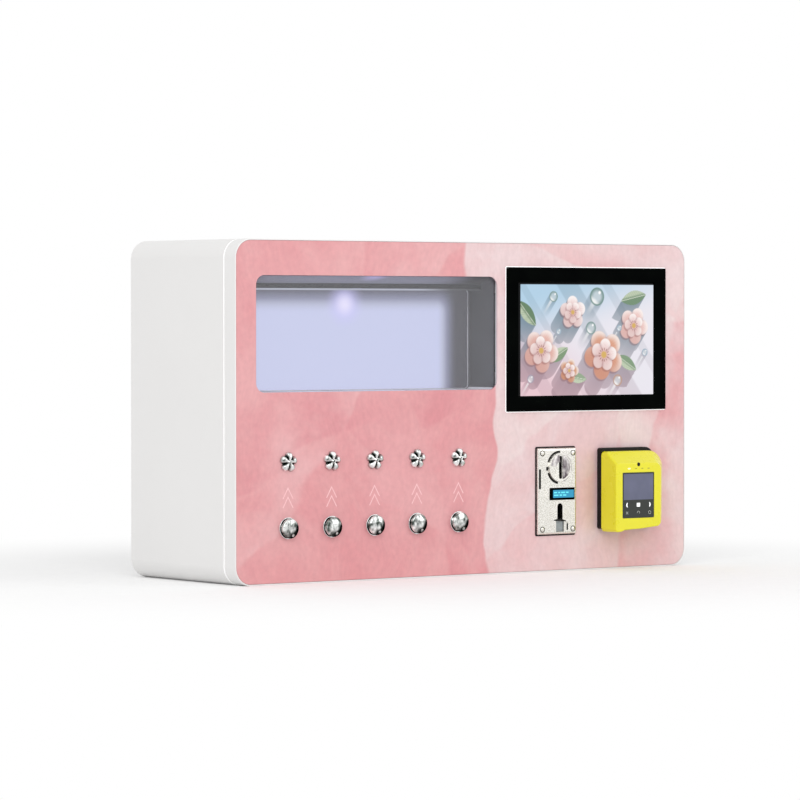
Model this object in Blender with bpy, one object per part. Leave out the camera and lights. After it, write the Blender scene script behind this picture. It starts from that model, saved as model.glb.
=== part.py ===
"""A perfume vending machine for a counter or a wall, as separate solids in metres.

X runs along the machine's width, the face looks towards -Y and Z is up. The origin is the middle of
the underside of the whole machine, card reader included. Depths are measured backwards from the
plane of the printed face.
"""

import math

import bmesh
import bpy
from mathutils import Matrix, Vector

# Clearances and the overrun of every cutter
GAP = 0.0003
OVERRUN = 0.001

# Cabinet and door, from the outside
CABINET_CORNER = 0.022
SHEET = 0.0015
DOOR_DEPTH = 0.022
DOOR_SEAM = 0.0014
PANEL_THICKNESS = 0.002

# Display window, its pane and the compartment behind it
WINDOW_MARGIN = 0.02955
WINDOW_WIDTH = 0.3529
WINDOW_HEIGHT = 0.1354
WINDOW_BASE_Z = 0.22255
WINDOW_TOP_MARGIN = 0.04205
WINDOW_CORNER = 0.0055
PANE_THICKNESS = 0.002
PANE_OVERLAP = 0.005
LINER_SEAM = 0.0015
LINER_DEPTH = 0.049
LINER_WALL = 0.0012
LINER_DROP = 0.0145
LINER_DEPTH_AND_DROP_SHARES = ((0.0, 0.0), (0.45, 0.6), (0.48, 1.0), (1.0, 1.0))
BACK_PANEL_THICKNESS = 0.002
HANGER_WIDTH = 0.016
HANGER_FOOT = 0.014
HANGER_SETBACK = 0.012
HANGER_INSET = 0.02975
LAMP_DEPTH = 0.045
LAMP_RADIUS = 0.006
LAMP_LENGTH = 0.011
LENS_RADIUS = 0.008
LENS_THICKNESS = 0.0015

# Advertising display
DISPLAY_SPACING = 0.01315
DISPLAY_MARGIN = 0.034
DISPLAY_DROP = 0.00775
SCREEN_WIDTH = 0.214
SCREEN_HEIGHT = 0.1375
SCREEN_CORNER = 0.0005
BEZEL_SIDE = 0.0182
BEZEL_END = 0.0184
BEZEL_THICKNESS = 0.0025
BEZEL_CORNER = 0.001
MODULE_SIDE = 0.008
MODULE_END = 0.00625
MODULE_THICKNESS = 0.005
COVER_RIM = 0.006
COVER_DEPTH = 0.018
COVER_WALL = 0.001

# Five columns of nozzle, button, pump and tank
COLUMNS = 5
COLUMN_MARGIN = 0.0741
COLUMN_PITCH = 0.0623
NOZZLE_Z = 0.1408
NOZZLE_RADIUS = 0.0118
NOZZLE_PROUD = 0.0058
NOZZLE_TIP_RADIUS = 0.003
NOZZLE_PETALS = 5
PETAL_DEPTH_SHARE = 0.27
PETAL_HEIGHT_AND_SIZE_SHARES = ((0.9, 0.55), (0.55, 0.92), (0.12, 1.0))
STEM_RADIUS = 0.004
STEM_NUT_RADIUS = 0.007
NUT_THICKNESS = 0.003
BARB_RADIUS = 0.0025
BARB_LENGTH = 0.006
STEM_LENGTH = 0.014
ORIFICE_RADIUS = 0.001
ORIFICE_DEPTH = 0.003
BUTTON_Z = 0.0650
BUTTON_RADIUS = 0.0118
BUTTON_RISE = 0.0036
BUTTON_RIM = 0.0009
BUTTON_TRAVEL = 0.0025
BUTTON_SHANK_RADIUS = 0.0085
BUTTON_SHANK_LENGTH = 0.007
PLUNGER_RADIUS = 0.003
PLUNGER_LENGTH = 0.007
RING_RADIUS = 0.0127
RING_THICKNESS = 0.0011
BARREL_RADIUS = 0.011
BARREL_LENGTH = 0.016
BARREL_NUT_RADIUS = 0.0135
SWITCH_RADIUS = 0.009
SWITCH_LENGTH = 0.010

# Rack on the door, with the tanks and the pumps that stand in it
RACK_FLOOR_Z = 0.010
RACK_FRONT = 0.046
RACK_LIP = 0.020
RACK_FLANGE = 0.012
RACK_MARGIN = 0.0025
SHELF_SETBACK = 0.004
PUMP_BACKREST = 0.048
TANK_SPACING = 0.0103
TANK_HEIGHT = 0.110
TANK_SQUARENESS = 7
TANK_NECK_RADIUS = 0.010
TANK_NECK_HEIGHT = 0.006
TANK_CAP_RADIUS = 0.012
TANK_CAP_HEIGHT = 0.008
TANK_SHOULDER = 0.006
SUCTION_LENGTH = 0.016
PUMP_RADIUS = 0.014
PUMP_HEIGHT = 0.023
MOTOR_RADIUS = 0.0115
MOTOR_HEIGHT = 0.022
SPIGOT_RADIUS = 0.0025
SPIGOT_LENGTH = 0.006
OUTLET_RISE = 0.014
TUBE_RADIUS = 0.002
TUBE_STEPS = 10
TUBE_HANDLE_SHARE = 0.6

# Coin acceptor
COIN_TO_READER = 0.108
COIN_Z = 0.098
COIN_WIDTH = 0.060
COIN_HEIGHT = 0.105
COIN_PLATE_PROUD = 0.005
COIN_PLATE_CORNER = 0.0015
DISC_OFFSET_X = 0.003
DISC_OFFSET_Z = 0.0288
DISC_RADIUS = 0.0175
DISC_RISE = 0.002
SLOT_WIDTH = 0.0046
SLOT_HEIGHT = 0.028
SLOT_CORNER = 0.0015
REJECT_RADIUS = 0.0145
REJECT_OFFSET = 0.0036
REJECT_PROUD = 0.0008
REJECT_TRAVEL = 0.0022
REJECT_CLEARANCE = 0.0008
GROOVE_WIDTH = 0.0024
GROOVE_DEPTH = 0.0012
GROOVE_ARCS = ((100, 160), (200, 255))
COIN_SCREW_RADIUS = 0.0028
COIN_SCREW_RISE = 0.0009
COIN_SCREW_INSET = 0.0062
COIN_LCD_OFFSET_X = 0.0068
COIN_LCD_OFFSET_Z = -0.0034
COIN_LCD_WIDTH = 0.0388
COIN_LCD_HEIGHT = 0.0124
COIN_LCD_PROUD = 0.0006
COIN_LCD_THICKNESS = 0.003
RETURN_OFFSET_X = 0.0035
RETURN_SLOT_WIDTH = 0.0082
RETURN_SLOT_TOP = 0.0149
RETURN_LINTEL = 0.036
RETURN_SILL = 0.0495
RETURN_WIDTH = 0.0122
RETURN_DEPTH = 0.020
FLAP_THICKNESS = 0.0012
FLAP_RECESS = 0.0016
FLAP_PIVOT_DROP = 0.001
MECHANISM_WIDTH = 0.044
MECHANISM_HEIGHT = 0.102
MECHANISM_DEPTH = 0.062
CHUTE_LENGTH = 0.030
CHUTE_BACK_WALL = 0.008

# Card reader
READER_INSET = 0.100
READER_Z = 0.0995
READER_WIDTH = 0.084
READER_HEIGHT = 0.0994
READER_CORNER = 0.003
READER_BASE_PROUD = 0.008
READER_PROUD = 0.036
READER_WALL = 0.002
READER_BOSS_RADIUS = 0.009
READER_BOSS_LENGTH = 0.009
READER_NUT_RADIUS = 0.014
READER_CORE_WIDTH = 0.058
READER_CORE_HEIGHT = 0.060
READER_CORE_DEPTH = 0.014
READER_CORE_LIFT = 0.004
HOUSING_BACK = (
    (-0.0420, -0.0535, 0.006),
    (0.0465, -0.0475, 0.008),
    (0.0460, 0.0455, 0.026),
    (-0.0420, 0.0455, 0.005),
)
HOUSING_FRONT = (
    (-0.0415, -0.0530, 0.004),
    (0.0305, -0.0465, 0.006),
    (0.0310, 0.0320, 0.010),
    (-0.0415, 0.0320, 0.003),
)
HOUSING_SIDE_SHARE = 0.35
GLASS_OFFSET_X = -0.0060
GLASS_OFFSET_Z = -0.0080
GLASS_WIDTH = 0.050
GLASS_HEIGHT = 0.0555
GLASS_CORNER = 0.001
GLASS_THICKNESS = 0.0012
CARD_SLOT_WIDTH = 0.055
CARD_SLOT_THICKNESS = 0.0054
CARD_SLOT_HEIGHT = 0.012
CARD_SLOT_PROUD = 0.027
CARD_SLOT_OFFSET_X = -0.004
THROAT_WIDTH = 0.049
THROAT_HEIGHT = 0.0042

# Hinge inside the door's left edge, a gooseneck leaf of constant section
PIN_INSET = 0.0055
PIN_AHEAD = 0.014
PIN_RADIUS = 0.0015
KNUCKLE_RADIUS = 0.003
KNUCKLE_COUNT = 5
HINGE_BOTTOM = 0.040
LEAF_THICKNESS = 0.0012
ARM_THICKNESS = 0.0016
ARM_REACH = 0.0164
ARM_SETBACK = 0.019
BODY_LEAF_LENGTH = 0.028
DOOR_LEAF_FRONT = 0.0035
DOOR_LEAF_BACK = 0.013

# Lock in the right side
LOCK_DEPTH = 0.045
DIMPLE_RADIUS = 0.014
DIMPLE_DEPTH = 0.002
LOCK_HEAD_RADIUS = 0.012
LOCK_HEAD_THICKNESS = 0.0015
LOCK_RADIUS = 0.009
LOCK_LENGTH = 0.020
LOCK_NUT_RADIUS = 0.0125
LOCK_NUT_THICKNESS = 0.004
PLUG_RADIUS = 0.006
PLUG_SINK = 0.0003
KEYWAY_LENGTH = 0.007
KEYWAY_WIDTH = 0.0014
KEYWAY_DEPTH = 0.003
CAM_THICKNESS = 0.003
CAM_LENGTH = 0.036
CAM_WIDTH = 0.010
CAM_HOOK_HEIGHT = 0.006
CAM_HOOK_LENGTH = 0.0035
KEEPER_CLEARANCE = 0.0013
KEEPER_OVERHANG = 0.001
KEEPER_BAR_LENGTH = 0.003
KEEPER_BAR_HEIGHT = 0.0055
KEEPER_BASE_LENGTH = 0.012
KEEPER_BASE_HEIGHT = 0.028

# Inside the cabinet
COIN_BOX_WIDTH = 0.100
COIN_BOX_LENGTH = 0.120
COIN_BOX_HEIGHT = 0.040
COIN_BOX_WALL = 0.001
COIN_BOX_CORNER = 0.004
COIN_BOX_SETBACK = 0.0035
SUPPLY_INSET = 0.0805
SUPPLY_WIDTH = 0.129
SUPPLY_LENGTH = 0.097
SUPPLY_HEIGHT = 0.030
SUPPLY_SETBACK = 0.006
SUPPLY_CLEARANCE = 0.012
TERMINAL_LENGTH = 0.014
TERMINAL_DROP = 0.012
BOARD_TO_DISPLAY = 0.0408
BOARD_DROP = 0.110
BOARD_WIDTH = 0.160
BOARD_HEIGHT = 0.100
BOARD_THICKNESS = 0.0016
STANDOFF_RADIUS = 0.003
STANDOFF_LENGTH = 0.008
STANDOFF_INSET = 0.006
CONNECTOR_DEPTH = 0.009
CONNECTOR_HEIGHT = 0.008
CONNECTOR_WIDTH = 0.110
CHIP_SIZE = 0.024
CHIP_DEPTH = 0.003

# Mains inlet in a well of the rear wall
INLET_INSET = 0.090
INLET_Z = 0.045
WELL_WIDTH = 0.056
WELL_HEIGHT = 0.036
WELL_DEPTH = 0.006
INLET_FLANGE_WIDTH = 0.050
INLET_FLANGE_HEIGHT = 0.031
INLET_FLANGE_THICKNESS = 0.002
INLET_CORNER = 0.002
INLET_BODY_WIDTH = 0.045
INLET_BODY_HEIGHT = 0.026
INLET_BODY_DEPTH = 0.022
SOCKET_OFFSET_X = -0.0085
SOCKET_WIDTH = 0.0242
SOCKET_HEIGHT = 0.0165
SOCKET_DEPTH = 0.015
SOCKET_CORNER = 0.003
CONTACT_SPACING = 0.007
CONTACT_WIDTH = 0.002
CONTACT_HEIGHT = 0.004
CONTACT_LENGTH = 0.010
CONTACT_RISE = 0.002
ROCKER_OFFSET_X = 0.0145
ROCKER_WIDTH = 0.0115
ROCKER_HEIGHT = 0.018
ROCKER_CROWN = 0.0006
ROCKER_DEPTH = 0.006
ROCKER_WELL_DEPTH = 0.012
ROCKER_CLEARANCE = 0.0007
ROCKER_TILT = 8

# Keyholes in the rear wall
KEYHOLE_INSET = 0.090
KEYHOLE_SPACING_Z = 0.240
KEYHOLE_Z = 0.210
KEYHOLE_RADIUS = 0.005
KEYHOLE_SLOT_WIDTH = 0.0052
KEYHOLE_SLOT_LENGTH = 0.012

# Facets
DISC_STEPS = 32
ROUND_STEPS = 16
SMALL_STEPS = 12
CORNER_STEPS = 5
PETAL_STEPS = 5
DOME_STEPS = 3
DOME_START = 8
SMOOTH_ANGLE = math.radians(35)

# The cabinet's size, from what it holds
BEZEL_WIDTH = SCREEN_WIDTH + 2 * BEZEL_SIDE
BEZEL_HEIGHT = SCREEN_HEIGHT + 2 * BEZEL_END
MODULE_WIDTH = SCREEN_WIDTH + 2 * MODULE_SIDE
MODULE_HEIGHT = SCREEN_HEIGHT + 2 * MODULE_END
TANK_SIZE = COLUMN_PITCH - TANK_SPACING
RACK_BACK = RACK_FRONT + SHEET + TANK_SIZE + RACK_MARGIN
CABINET_WIDTH = WINDOW_MARGIN + WINDOW_WIDTH + DISPLAY_SPACING + BEZEL_WIDTH + DISPLAY_MARGIN
CABINET_HEIGHT = WINDOW_BASE_Z + WINDOW_HEIGHT + WINDOW_TOP_MARGIN
CABINET_DEPTH = RACK_BACK + SUPPLY_CLEARANCE + SUPPLY_LENGTH + SUPPLY_SETBACK + 2 * SHEET

# Places across the face, and along the sides and the rear wall
SIDE_X = CABINET_WIDTH / 2
WINDOW_X = WINDOW_MARGIN + WINDOW_WIDTH / 2 - SIDE_X
WINDOW_Z = WINDOW_BASE_Z + WINDOW_HEIGHT / 2
DISPLAY_X = SIDE_X - DISPLAY_MARGIN - BEZEL_WIDTH / 2
DISPLAY_Z = WINDOW_Z - DISPLAY_DROP
READER_X = SIDE_X - READER_INSET
COIN_X = READER_X - COIN_TO_READER
BOARD_X = DISPLAY_X - BOARD_TO_DISPLAY
BOARD_Z = CABINET_HEIGHT - BOARD_DROP
INLET_X = SIDE_X - INLET_INSET
HINGE_LENGTH = CABINET_HEIGHT - 2 * HINGE_BOTTOM
LOCK_Z = CABINET_HEIGHT / 2

# Planes that several pieces share
FACE_Y = (READER_PROUD - CABINET_DEPTH) / 2
PANEL_BACK = PANEL_THICKNESS
PLATE_FRONT = PANEL_BACK + GAP
PLATE_BACK = PLATE_FRONT + SHEET
PANE_FRONT = PLATE_BACK + GAP
PANE_BACK = PANE_FRONT + PANE_THICKNESS
BODY_FRONT = DOOR_DEPTH + DOOR_SEAM
REAR_WALL = CABINET_DEPTH - SHEET
INNER_X = SIDE_X - SHEET
CEILING_Z = CABINET_HEIGHT - SHEET
LINER_FRONT = PANE_BACK + LINER_SEAM
LINER_BACK = LINER_FRONT + LINER_DEPTH
LINER_CEILING_Z = WINDOW_Z + WINDOW_HEIGHT / 2 - LINER_DROP
PIN_X = PIN_INSET - SIDE_X
PIN_DEPTH = DOOR_DEPTH - PIN_AHEAD
TANK_DEPTH = RACK_FRONT + SHEET + (TANK_SIZE + RACK_MARGIN) / 2
TANK_BASE_Z = RACK_FLOOR_Z + SHEET + GAP
TANK_TOP_Z = TANK_BASE_Z + TANK_HEIGHT + TANK_SHOULDER + TANK_NECK_HEIGHT + TANK_CAP_HEIGHT
PUMP_BASE_Z = TANK_TOP_Z + GAP + SUCTION_LENGTH
SHELF_TOP_Z = PUMP_BASE_Z - GAP
RACK_TOP_Z = SHELF_TOP_Z + PUMP_BACKREST


def colour(code):
    """Linear colour of an sRGB hex code."""
    channels = [int(code[start:start + 2], 16) / 255 for start in (0, 2, 4)]
    return [c / 12.92 if c <= 0.04045 else ((c + 0.055) / 1.055) ** 2.4 for c in channels] + [1.0]


def make_material(name, code, roughness, metallic=0.0, alpha=1.0):
    material = bpy.data.materials.new(name)
    material.use_nodes = True
    shader = material.node_tree.nodes["Principled BSDF"]
    shader.inputs["Base Color"].default_value = colour(code)
    shader.inputs["Roughness"].default_value = roughness
    shader.inputs["Metallic"].default_value = metallic
    shader.inputs["Alpha"].default_value = alpha
    return material


def rounded_rect(x, z, width, height, radius, steps=CORNER_STEPS):
    """Outline of a rectangle with round corners, anticlockwise as the first axis turns to the second."""
    corners = [(-1, -1), (1, -1), (1, 1), (-1, 1)]
    placed = [(x + sx * width / 2, z + sz * height / 2, radius) for sx, sz in corners]
    return rounded_polygon(placed, steps)


def rounded_polygon(corners, steps=CORNER_STEPS):
    """Outline through corners of (first, second, radius), each rounded by an arc of that radius."""
    outline = []
    for i, (x, z, radius) in enumerate(corners):
        corner = Vector((x, z))
        before = (Vector(corners[i - 1][:2]) - corner).normalized()
        after = (Vector(corners[(i + 1) % len(corners)][:2]) - corner).normalized()
        half = before.angle(after) / 2
        centre = corner + (before + after).normalized() * radius / math.sin(half)
        start = corner + before * radius / math.tan(half) - centre
        turn = (math.pi - 2 * half) / steps
        for step in range(steps + 1):
            outline.append(tuple(centre + Matrix.Rotation(turn * step, 2) @ start))
    return outline


def circle(x, z, radius, steps=ROUND_STEPS):
    angles = [2 * math.pi * i / steps for i in range(steps)]
    return [(x + radius * math.cos(a), z + radius * math.sin(a)) for a in angles]


def superellipse(x, z, radius, power, steps=SMALL_STEPS):
    """A round outline for power 2, and one closer to a square for higher powers."""
    outline = []
    for i in range(steps):
        c, s = math.cos(2 * math.pi * (i + 0.5) / steps), math.sin(2 * math.pi * (i + 0.5) / steps)
        reach = radius / (abs(c) ** power + abs(s) ** power) ** (1 / power)
        outline.append((x + reach * c, z + reach * s))
    return outline


def flower(x, z, radius, depth_share):
    """A circle whose radius dips by a share of itself between the petals."""
    steps = NOZZLE_PETALS * PETAL_STEPS
    outline = []
    for i in range(steps):
        angle = 2 * math.pi * i / steps
        dip = depth_share * (1 - math.cos(NOZZLE_PETALS * angle)) / 2
        reach = radius * (1 - dip)
        outline.append((x + reach * math.sin(angle), z + reach * math.cos(angle)))
    return outline


def at_depth(outline, depth):
    """An outline of the XZ plane, as points this far behind the face."""
    return [(x, FACE_Y + depth, z) for x, z in outline]


def at_height(outline, z):
    """An outline of X and depth, as points at this height."""
    return [(x, FACE_Y + depth, z) for x, depth in outline]


def at_width(outline, x):
    """An outline of depth and Z, as points at this X."""
    return [(x, FACE_Y + depth, z) for depth, z in outline]


def new_object(name, mesh, material):
    obj = bpy.data.objects.new(name, mesh)
    bpy.context.scene.collection.objects.link(obj)
    if material:
        mesh.materials.append(material)
    return obj


def bodies(name, lofts, material=None, closed=False):
    """One object of closed bodies, each skinned over its rings of points, with the end rings capped."""
    shape = bmesh.new()
    for rings in lofts:
        loops = [[shape.verts.new(point) for point in ring] for ring in rings]
        pairs = list(zip(loops, loops[1:]))
        if closed:
            pairs.append((loops[-1], loops[0]))
        else:
            shape.faces.new(loops[0])
            shape.faces.new(loops[-1])
        for lower, upper in pairs:
            for i in range(len(lower)):
                shape.faces.new((lower[i - 1], lower[i], upper[i], upper[i - 1]))
    bmesh.ops.recalc_face_normals(shape, faces=shape.faces)
    mesh = bpy.data.meshes.new(name)
    shape.to_mesh(mesh)
    shape.free()
    mesh.shade_smooth()
    mesh.set_sharp_from_angle(angle=SMOOTH_ANGLE)
    return new_object(name, mesh, material)


def loft(name, rings, material=None, closed=False):
    return bodies(name, [rings], material, closed)


def slab(name, outline, front, back, material=None):
    """An outline of the XZ plane, from one depth to another."""
    return loft(name, [at_depth(outline, front), at_depth(outline, back)], material)


def box_rings(left, right, front, back, bottom, top):
    outline = [(left, bottom), (right, bottom), (right, top), (left, top)]
    return [at_depth(outline, front), at_depth(outline, back)]


def box(name, left, right, front, back, bottom, top, material=None):
    return loft(name, box_rings(left, right, front, back, bottom, top), material)


def turned_y(x, z, profile, steps=ROUND_STEPS):
    """Rings about an axis along Y, from a profile of (depth, radius)."""
    return [at_depth(circle(x, z, radius, steps), depth) for depth, radius in profile]


def turned_z(x, depth, profile, steps=SMALL_STEPS):
    """Rings about an upright axis, from a profile of (height, radius)."""
    return [at_height(circle(x, depth, radius, steps), z) for z, radius in profile]


def turned_x(depth, z, profile, steps=ROUND_STEPS):
    """Rings about an axis along X, from a profile of (x, radius)."""
    return [at_width(circle(depth, z, radius, steps), x) for x, radius in profile]


def combine(target, tool, operation):
    """Boolean of two objects, with the tool kept as a hidden guide."""
    modifier = target.modifiers.new(f"{operation.lower()} {tool.name}", "BOOLEAN")
    modifier.operation = operation
    modifier.solver = "EXACT"
    modifier.object = tool
    tool.hide_render = True
    tool.display_type = "WIRE"


def cut(target, tool):
    combine(target, tool, "DIFFERENCE")


def fuse(target, tool):
    combine(target, tool, "UNION")


def set_origin(obj, x, depth, z):
    """Moves the object's origin onto its joint's axis and leaves its shape in place."""
    origin = Vector((x, FACE_Y + depth, z))
    obj.data.transform(Matrix.Translation(-origin))
    obj.location = origin


def cabinet_outline(inset):
    """The cabinet's front outline, moved in by this much."""
    width = CABINET_WIDTH - 2 * inset
    height = CABINET_HEIGHT - 2 * inset
    return rounded_rect(0, CABINET_HEIGHT / 2, width, height, CABINET_CORNER - inset)


def window_outline(margin=0.0, drop=0.0):
    """The window's outline, made larger by a margin and with its top lowered."""
    width = WINDOW_WIDTH + 2 * margin
    height = WINDOW_HEIGHT + 2 * margin - drop
    return rounded_rect(WINDOW_X, WINDOW_Z - drop / 2, width, height, WINDOW_CORNER + margin)


def column_xs():
    return [COLUMN_MARGIN - SIDE_X + i * COLUMN_PITCH for i in range(COLUMNS)]


def make_face_cutters():
    """Every opening that goes through both the printed face and the door's plate behind it."""
    lines = [window_outline()]
    module = MODULE_WIDTH + 2 * GAP, MODULE_HEIGHT + 2 * GAP
    lines.append(rounded_rect(DISPLAY_X, DISPLAY_Z, *module, BEZEL_CORNER))
    mechanism = MECHANISM_WIDTH + 2 * GAP, MECHANISM_HEIGHT + 2 * GAP
    lines.append(rounded_rect(COIN_X, COIN_Z, *mechanism, GAP, 1))
    lines.append(circle(READER_X, READER_Z, READER_BOSS_RADIUS + GAP, SMALL_STEPS))
    for x in column_xs():
        lines.append(circle(x, NOZZLE_Z, STEM_RADIUS + GAP, SMALL_STEPS))
        lines.append(circle(x, BUTTON_Z, BARREL_RADIUS + GAP))
    ends = -OVERRUN, PLATE_BACK + OVERRUN
    return bodies("face_openings", [[at_depth(line, end) for end in ends] for line in lines])


def make_cabinet_shell(material):
    outer, inner = cabinet_outline(0), cabinet_outline(SHEET)
    shell = loft("cabinet_shell", [
        at_depth(inner, REAR_WALL),
        at_depth(inner, BODY_FRONT),
        at_depth(outer, BODY_FRONT),
        at_depth(outer, CABINET_DEPTH),
    ], material)
    add_lock_dimple(shell)
    add_inlet_well(shell)
    cut(shell, make_keyhole_cutters())
    return shell


def add_lock_dimple(shell):
    floor_x = SIDE_X - DIMPLE_DEPTH
    pad = [(floor_x - SHEET, DIMPLE_RADIUS + SHEET), (SIDE_X - SHEET / 2, DIMPLE_RADIUS + SHEET)]
    fuse(shell, loft("lock_dimple", turned_x(LOCK_DEPTH, LOCK_Z, pad)))
    hole = [
        (floor_x - SHEET - OVERRUN, LOCK_RADIUS + GAP),
        (floor_x, LOCK_RADIUS + GAP),
        (floor_x, DIMPLE_RADIUS),
        (SIDE_X + OVERRUN, DIMPLE_RADIUS),
    ]
    cut(shell, loft("lock_hole", turned_x(LOCK_DEPTH, LOCK_Z, hole)))


def add_inlet_well(shell):
    floor = CABINET_DEPTH - WELL_DEPTH
    outer = rounded_rect(INLET_X, INLET_Z, WELL_WIDTH + 2 * SHEET, WELL_HEIGHT + 2 * SHEET,
                         INLET_CORNER + SHEET)
    fuse(shell, slab("inlet_well", outer, floor - SHEET, CABINET_DEPTH - SHEET / 2))
    inner = rounded_rect(INLET_X, INLET_Z, WELL_WIDTH, WELL_HEIGHT, INLET_CORNER)
    cut(shell, slab("inlet_well_hollow", inner, floor, CABINET_DEPTH + OVERRUN))
    hole = rounded_rect(INLET_X, INLET_Z, INLET_BODY_WIDTH + 2 * GAP, INLET_BODY_HEIGHT + 2 * GAP,
                        INLET_CORNER)
    cut(shell, slab("inlet_hole", hole, floor - SHEET - OVERRUN, floor + OVERRUN))


def keyhole_places():
    return [(sx * (SIDE_X - KEYHOLE_INSET), KEYHOLE_Z + sz * KEYHOLE_SPACING_Z / 2)
            for sx in (-1, 1) for sz in (-1, 1)]


def make_keyhole_cutters():
    """Each keyhole is a round hole with a narrower slot above it, drawn as one outline."""
    half = KEYHOLE_SLOT_WIDTH / 2
    meet = math.asin(half / KEYHOLE_RADIUS)
    lofts = []
    for x, z in keyhole_places():
        outline = []
        for i in range(SMALL_STEPS + 1):
            angle = math.pi / 2 + meet + (2 * math.pi - 2 * meet) * i / SMALL_STEPS
            outline.append((x + KEYHOLE_RADIUS * math.cos(angle), z + KEYHOLE_RADIUS * math.sin(angle)))
        for i in range(CORNER_STEPS + 1):
            angle = math.pi * i / CORNER_STEPS
            outline.append((x + half * math.cos(angle), z + KEYHOLE_SLOT_LENGTH + half * math.sin(angle)))
        ends = REAR_WALL - OVERRUN, CABINET_DEPTH + OVERRUN
        lofts.append([at_depth(outline, end) for end in ends])
    return bodies("keyholes", lofts)


def make_door_frame(face_cutters, material):
    """A pan with a rim in front for the printed panel and a flange behind to meet the cabinet."""
    outer, inner = cabinet_outline(0), cabinet_outline(SHEET)
    frame = loft("door_frame", [
        at_depth(inner, PLATE_FRONT),
        at_depth(inner, 0),
        at_depth(outer, 0),
        at_depth(outer, DOOR_DEPTH),
        at_depth(inner, DOOR_DEPTH),
        at_depth(inner, PLATE_BACK),
    ], material)
    cut(frame, face_cutters)
    return frame


def make_face_panel(face_cutters, material):
    panel = slab("face_panel", cabinet_outline(SHEET + GAP), 0, PANEL_BACK, material)
    cut(panel, face_cutters)
    return panel


def make_window_pane(material):
    return slab("window_pane", window_outline(PANE_OVERLAP), PANE_FRONT, PANE_BACK, material)


def liner_rings(margin, front_overrun=0.0, back_overrun=0.0):
    """Sections of the display compartment, whose ceiling slopes down and then steps down."""
    rings = []
    for depth_share, drop_share in LINER_DEPTH_AND_DROP_SHARES:
        depth = LINER_FRONT + depth_share * LINER_DEPTH
        if depth_share == 0:
            depth -= front_overrun
        if depth_share == 1:
            depth += back_overrun
        rings.append(at_depth(window_outline(margin, drop_share * LINER_DROP), depth))
    return rings


def make_display_liner(material):
    liner = loft("display_liner", liner_rings(LINER_WALL), material)
    fuse(liner, make_liner_hangers())
    cut(liner, loft("liner_hollow", liner_rings(0.0, OVERRUN, OVERRUN)))
    lamp_hole = [(LINER_CEILING_Z - OVERRUN, LAMP_RADIUS + GAP),
                 (LINER_CEILING_Z + LINER_WALL + OVERRUN, LAMP_RADIUS + GAP)]
    cut(liner, loft("lamp_hole", turned_z(WINDOW_X, LAMP_DEPTH, lamp_hole)))
    return liner


def make_liner_hangers():
    """Two angle strips that hang the compartment from the cabinet's ceiling."""
    top = CEILING_Z - GAP
    foot = top - SHEET
    root = LINER_CEILING_Z
    start = BODY_FRONT + HANGER_SETBACK
    end = start + HANGER_WIDTH
    lofts = []
    for side in (-1, 1):
        x = WINDOW_X + side * (WINDOW_WIDTH / 2 - HANGER_INSET)
        inner = x - side * SHEET
        tip = x - side * HANGER_FOOT
        outline = [(x, root), (x, top), (tip, top), (tip, foot), (inner, foot), (inner, root)]
        lofts.append([at_depth(outline, start), at_depth(outline, end)])
    return bodies("liner_hangers", lofts)


def make_display_back_panel(material):
    outline = window_outline(-GAP, LINER_DROP)
    return slab("display_back_panel", outline, LINER_BACK - BACK_PANEL_THICKNESS, LINER_BACK, material)


def make_led_lamp(material):
    lens_top = LINER_CEILING_Z - GAP
    profile = [
        (lens_top - LENS_THICKNESS, LENS_RADIUS - LENS_THICKNESS),
        (lens_top, LENS_RADIUS),
        (lens_top, LAMP_RADIUS),
        (lens_top + LAMP_LENGTH, LAMP_RADIUS),
    ]
    return loft("led_lamp", turned_z(WINDOW_X, LAMP_DEPTH, profile), material)


def make_lcd(bezel_material, panel_material, cover_material):
    outer = rounded_rect(DISPLAY_X, DISPLAY_Z, BEZEL_WIDTH, BEZEL_HEIGHT, BEZEL_CORNER, 2)
    inner = rounded_rect(DISPLAY_X, DISPLAY_Z, SCREEN_WIDTH, SCREEN_HEIGHT, SCREEN_CORNER, 2)
    front, back = -GAP - BEZEL_THICKNESS, -GAP
    loft("lcd_bezel", [at_depth(outer, front), at_depth(outer, back), at_depth(inner, back),
                       at_depth(inner, front)], bezel_material, closed=True)
    module = rounded_rect(DISPLAY_X, DISPLAY_Z, MODULE_WIDTH, MODULE_HEIGHT, SCREEN_CORNER, 2)
    slab("lcd_panel", module, 0, MODULE_THICKNESS, panel_material)
    width, height = MODULE_WIDTH + 2 * COVER_RIM, MODULE_HEIGHT + 2 * COVER_RIM
    wide = rounded_rect(DISPLAY_X, DISPLAY_Z, width, height, COVER_RIM, 2)
    inside = rounded_rect(DISPLAY_X, DISPLAY_Z, width - 2 * COVER_WALL, height - 2 * COVER_WALL,
                          COVER_RIM - COVER_WALL, 2)
    mouth, end = PANE_FRONT, PANE_FRONT + COVER_DEPTH
    loft("lcd_back_cover", [at_depth(inside, end - COVER_WALL), at_depth(inside, mouth),
                            at_depth(wide, mouth), at_depth(wide, end)], cover_material)


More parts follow.
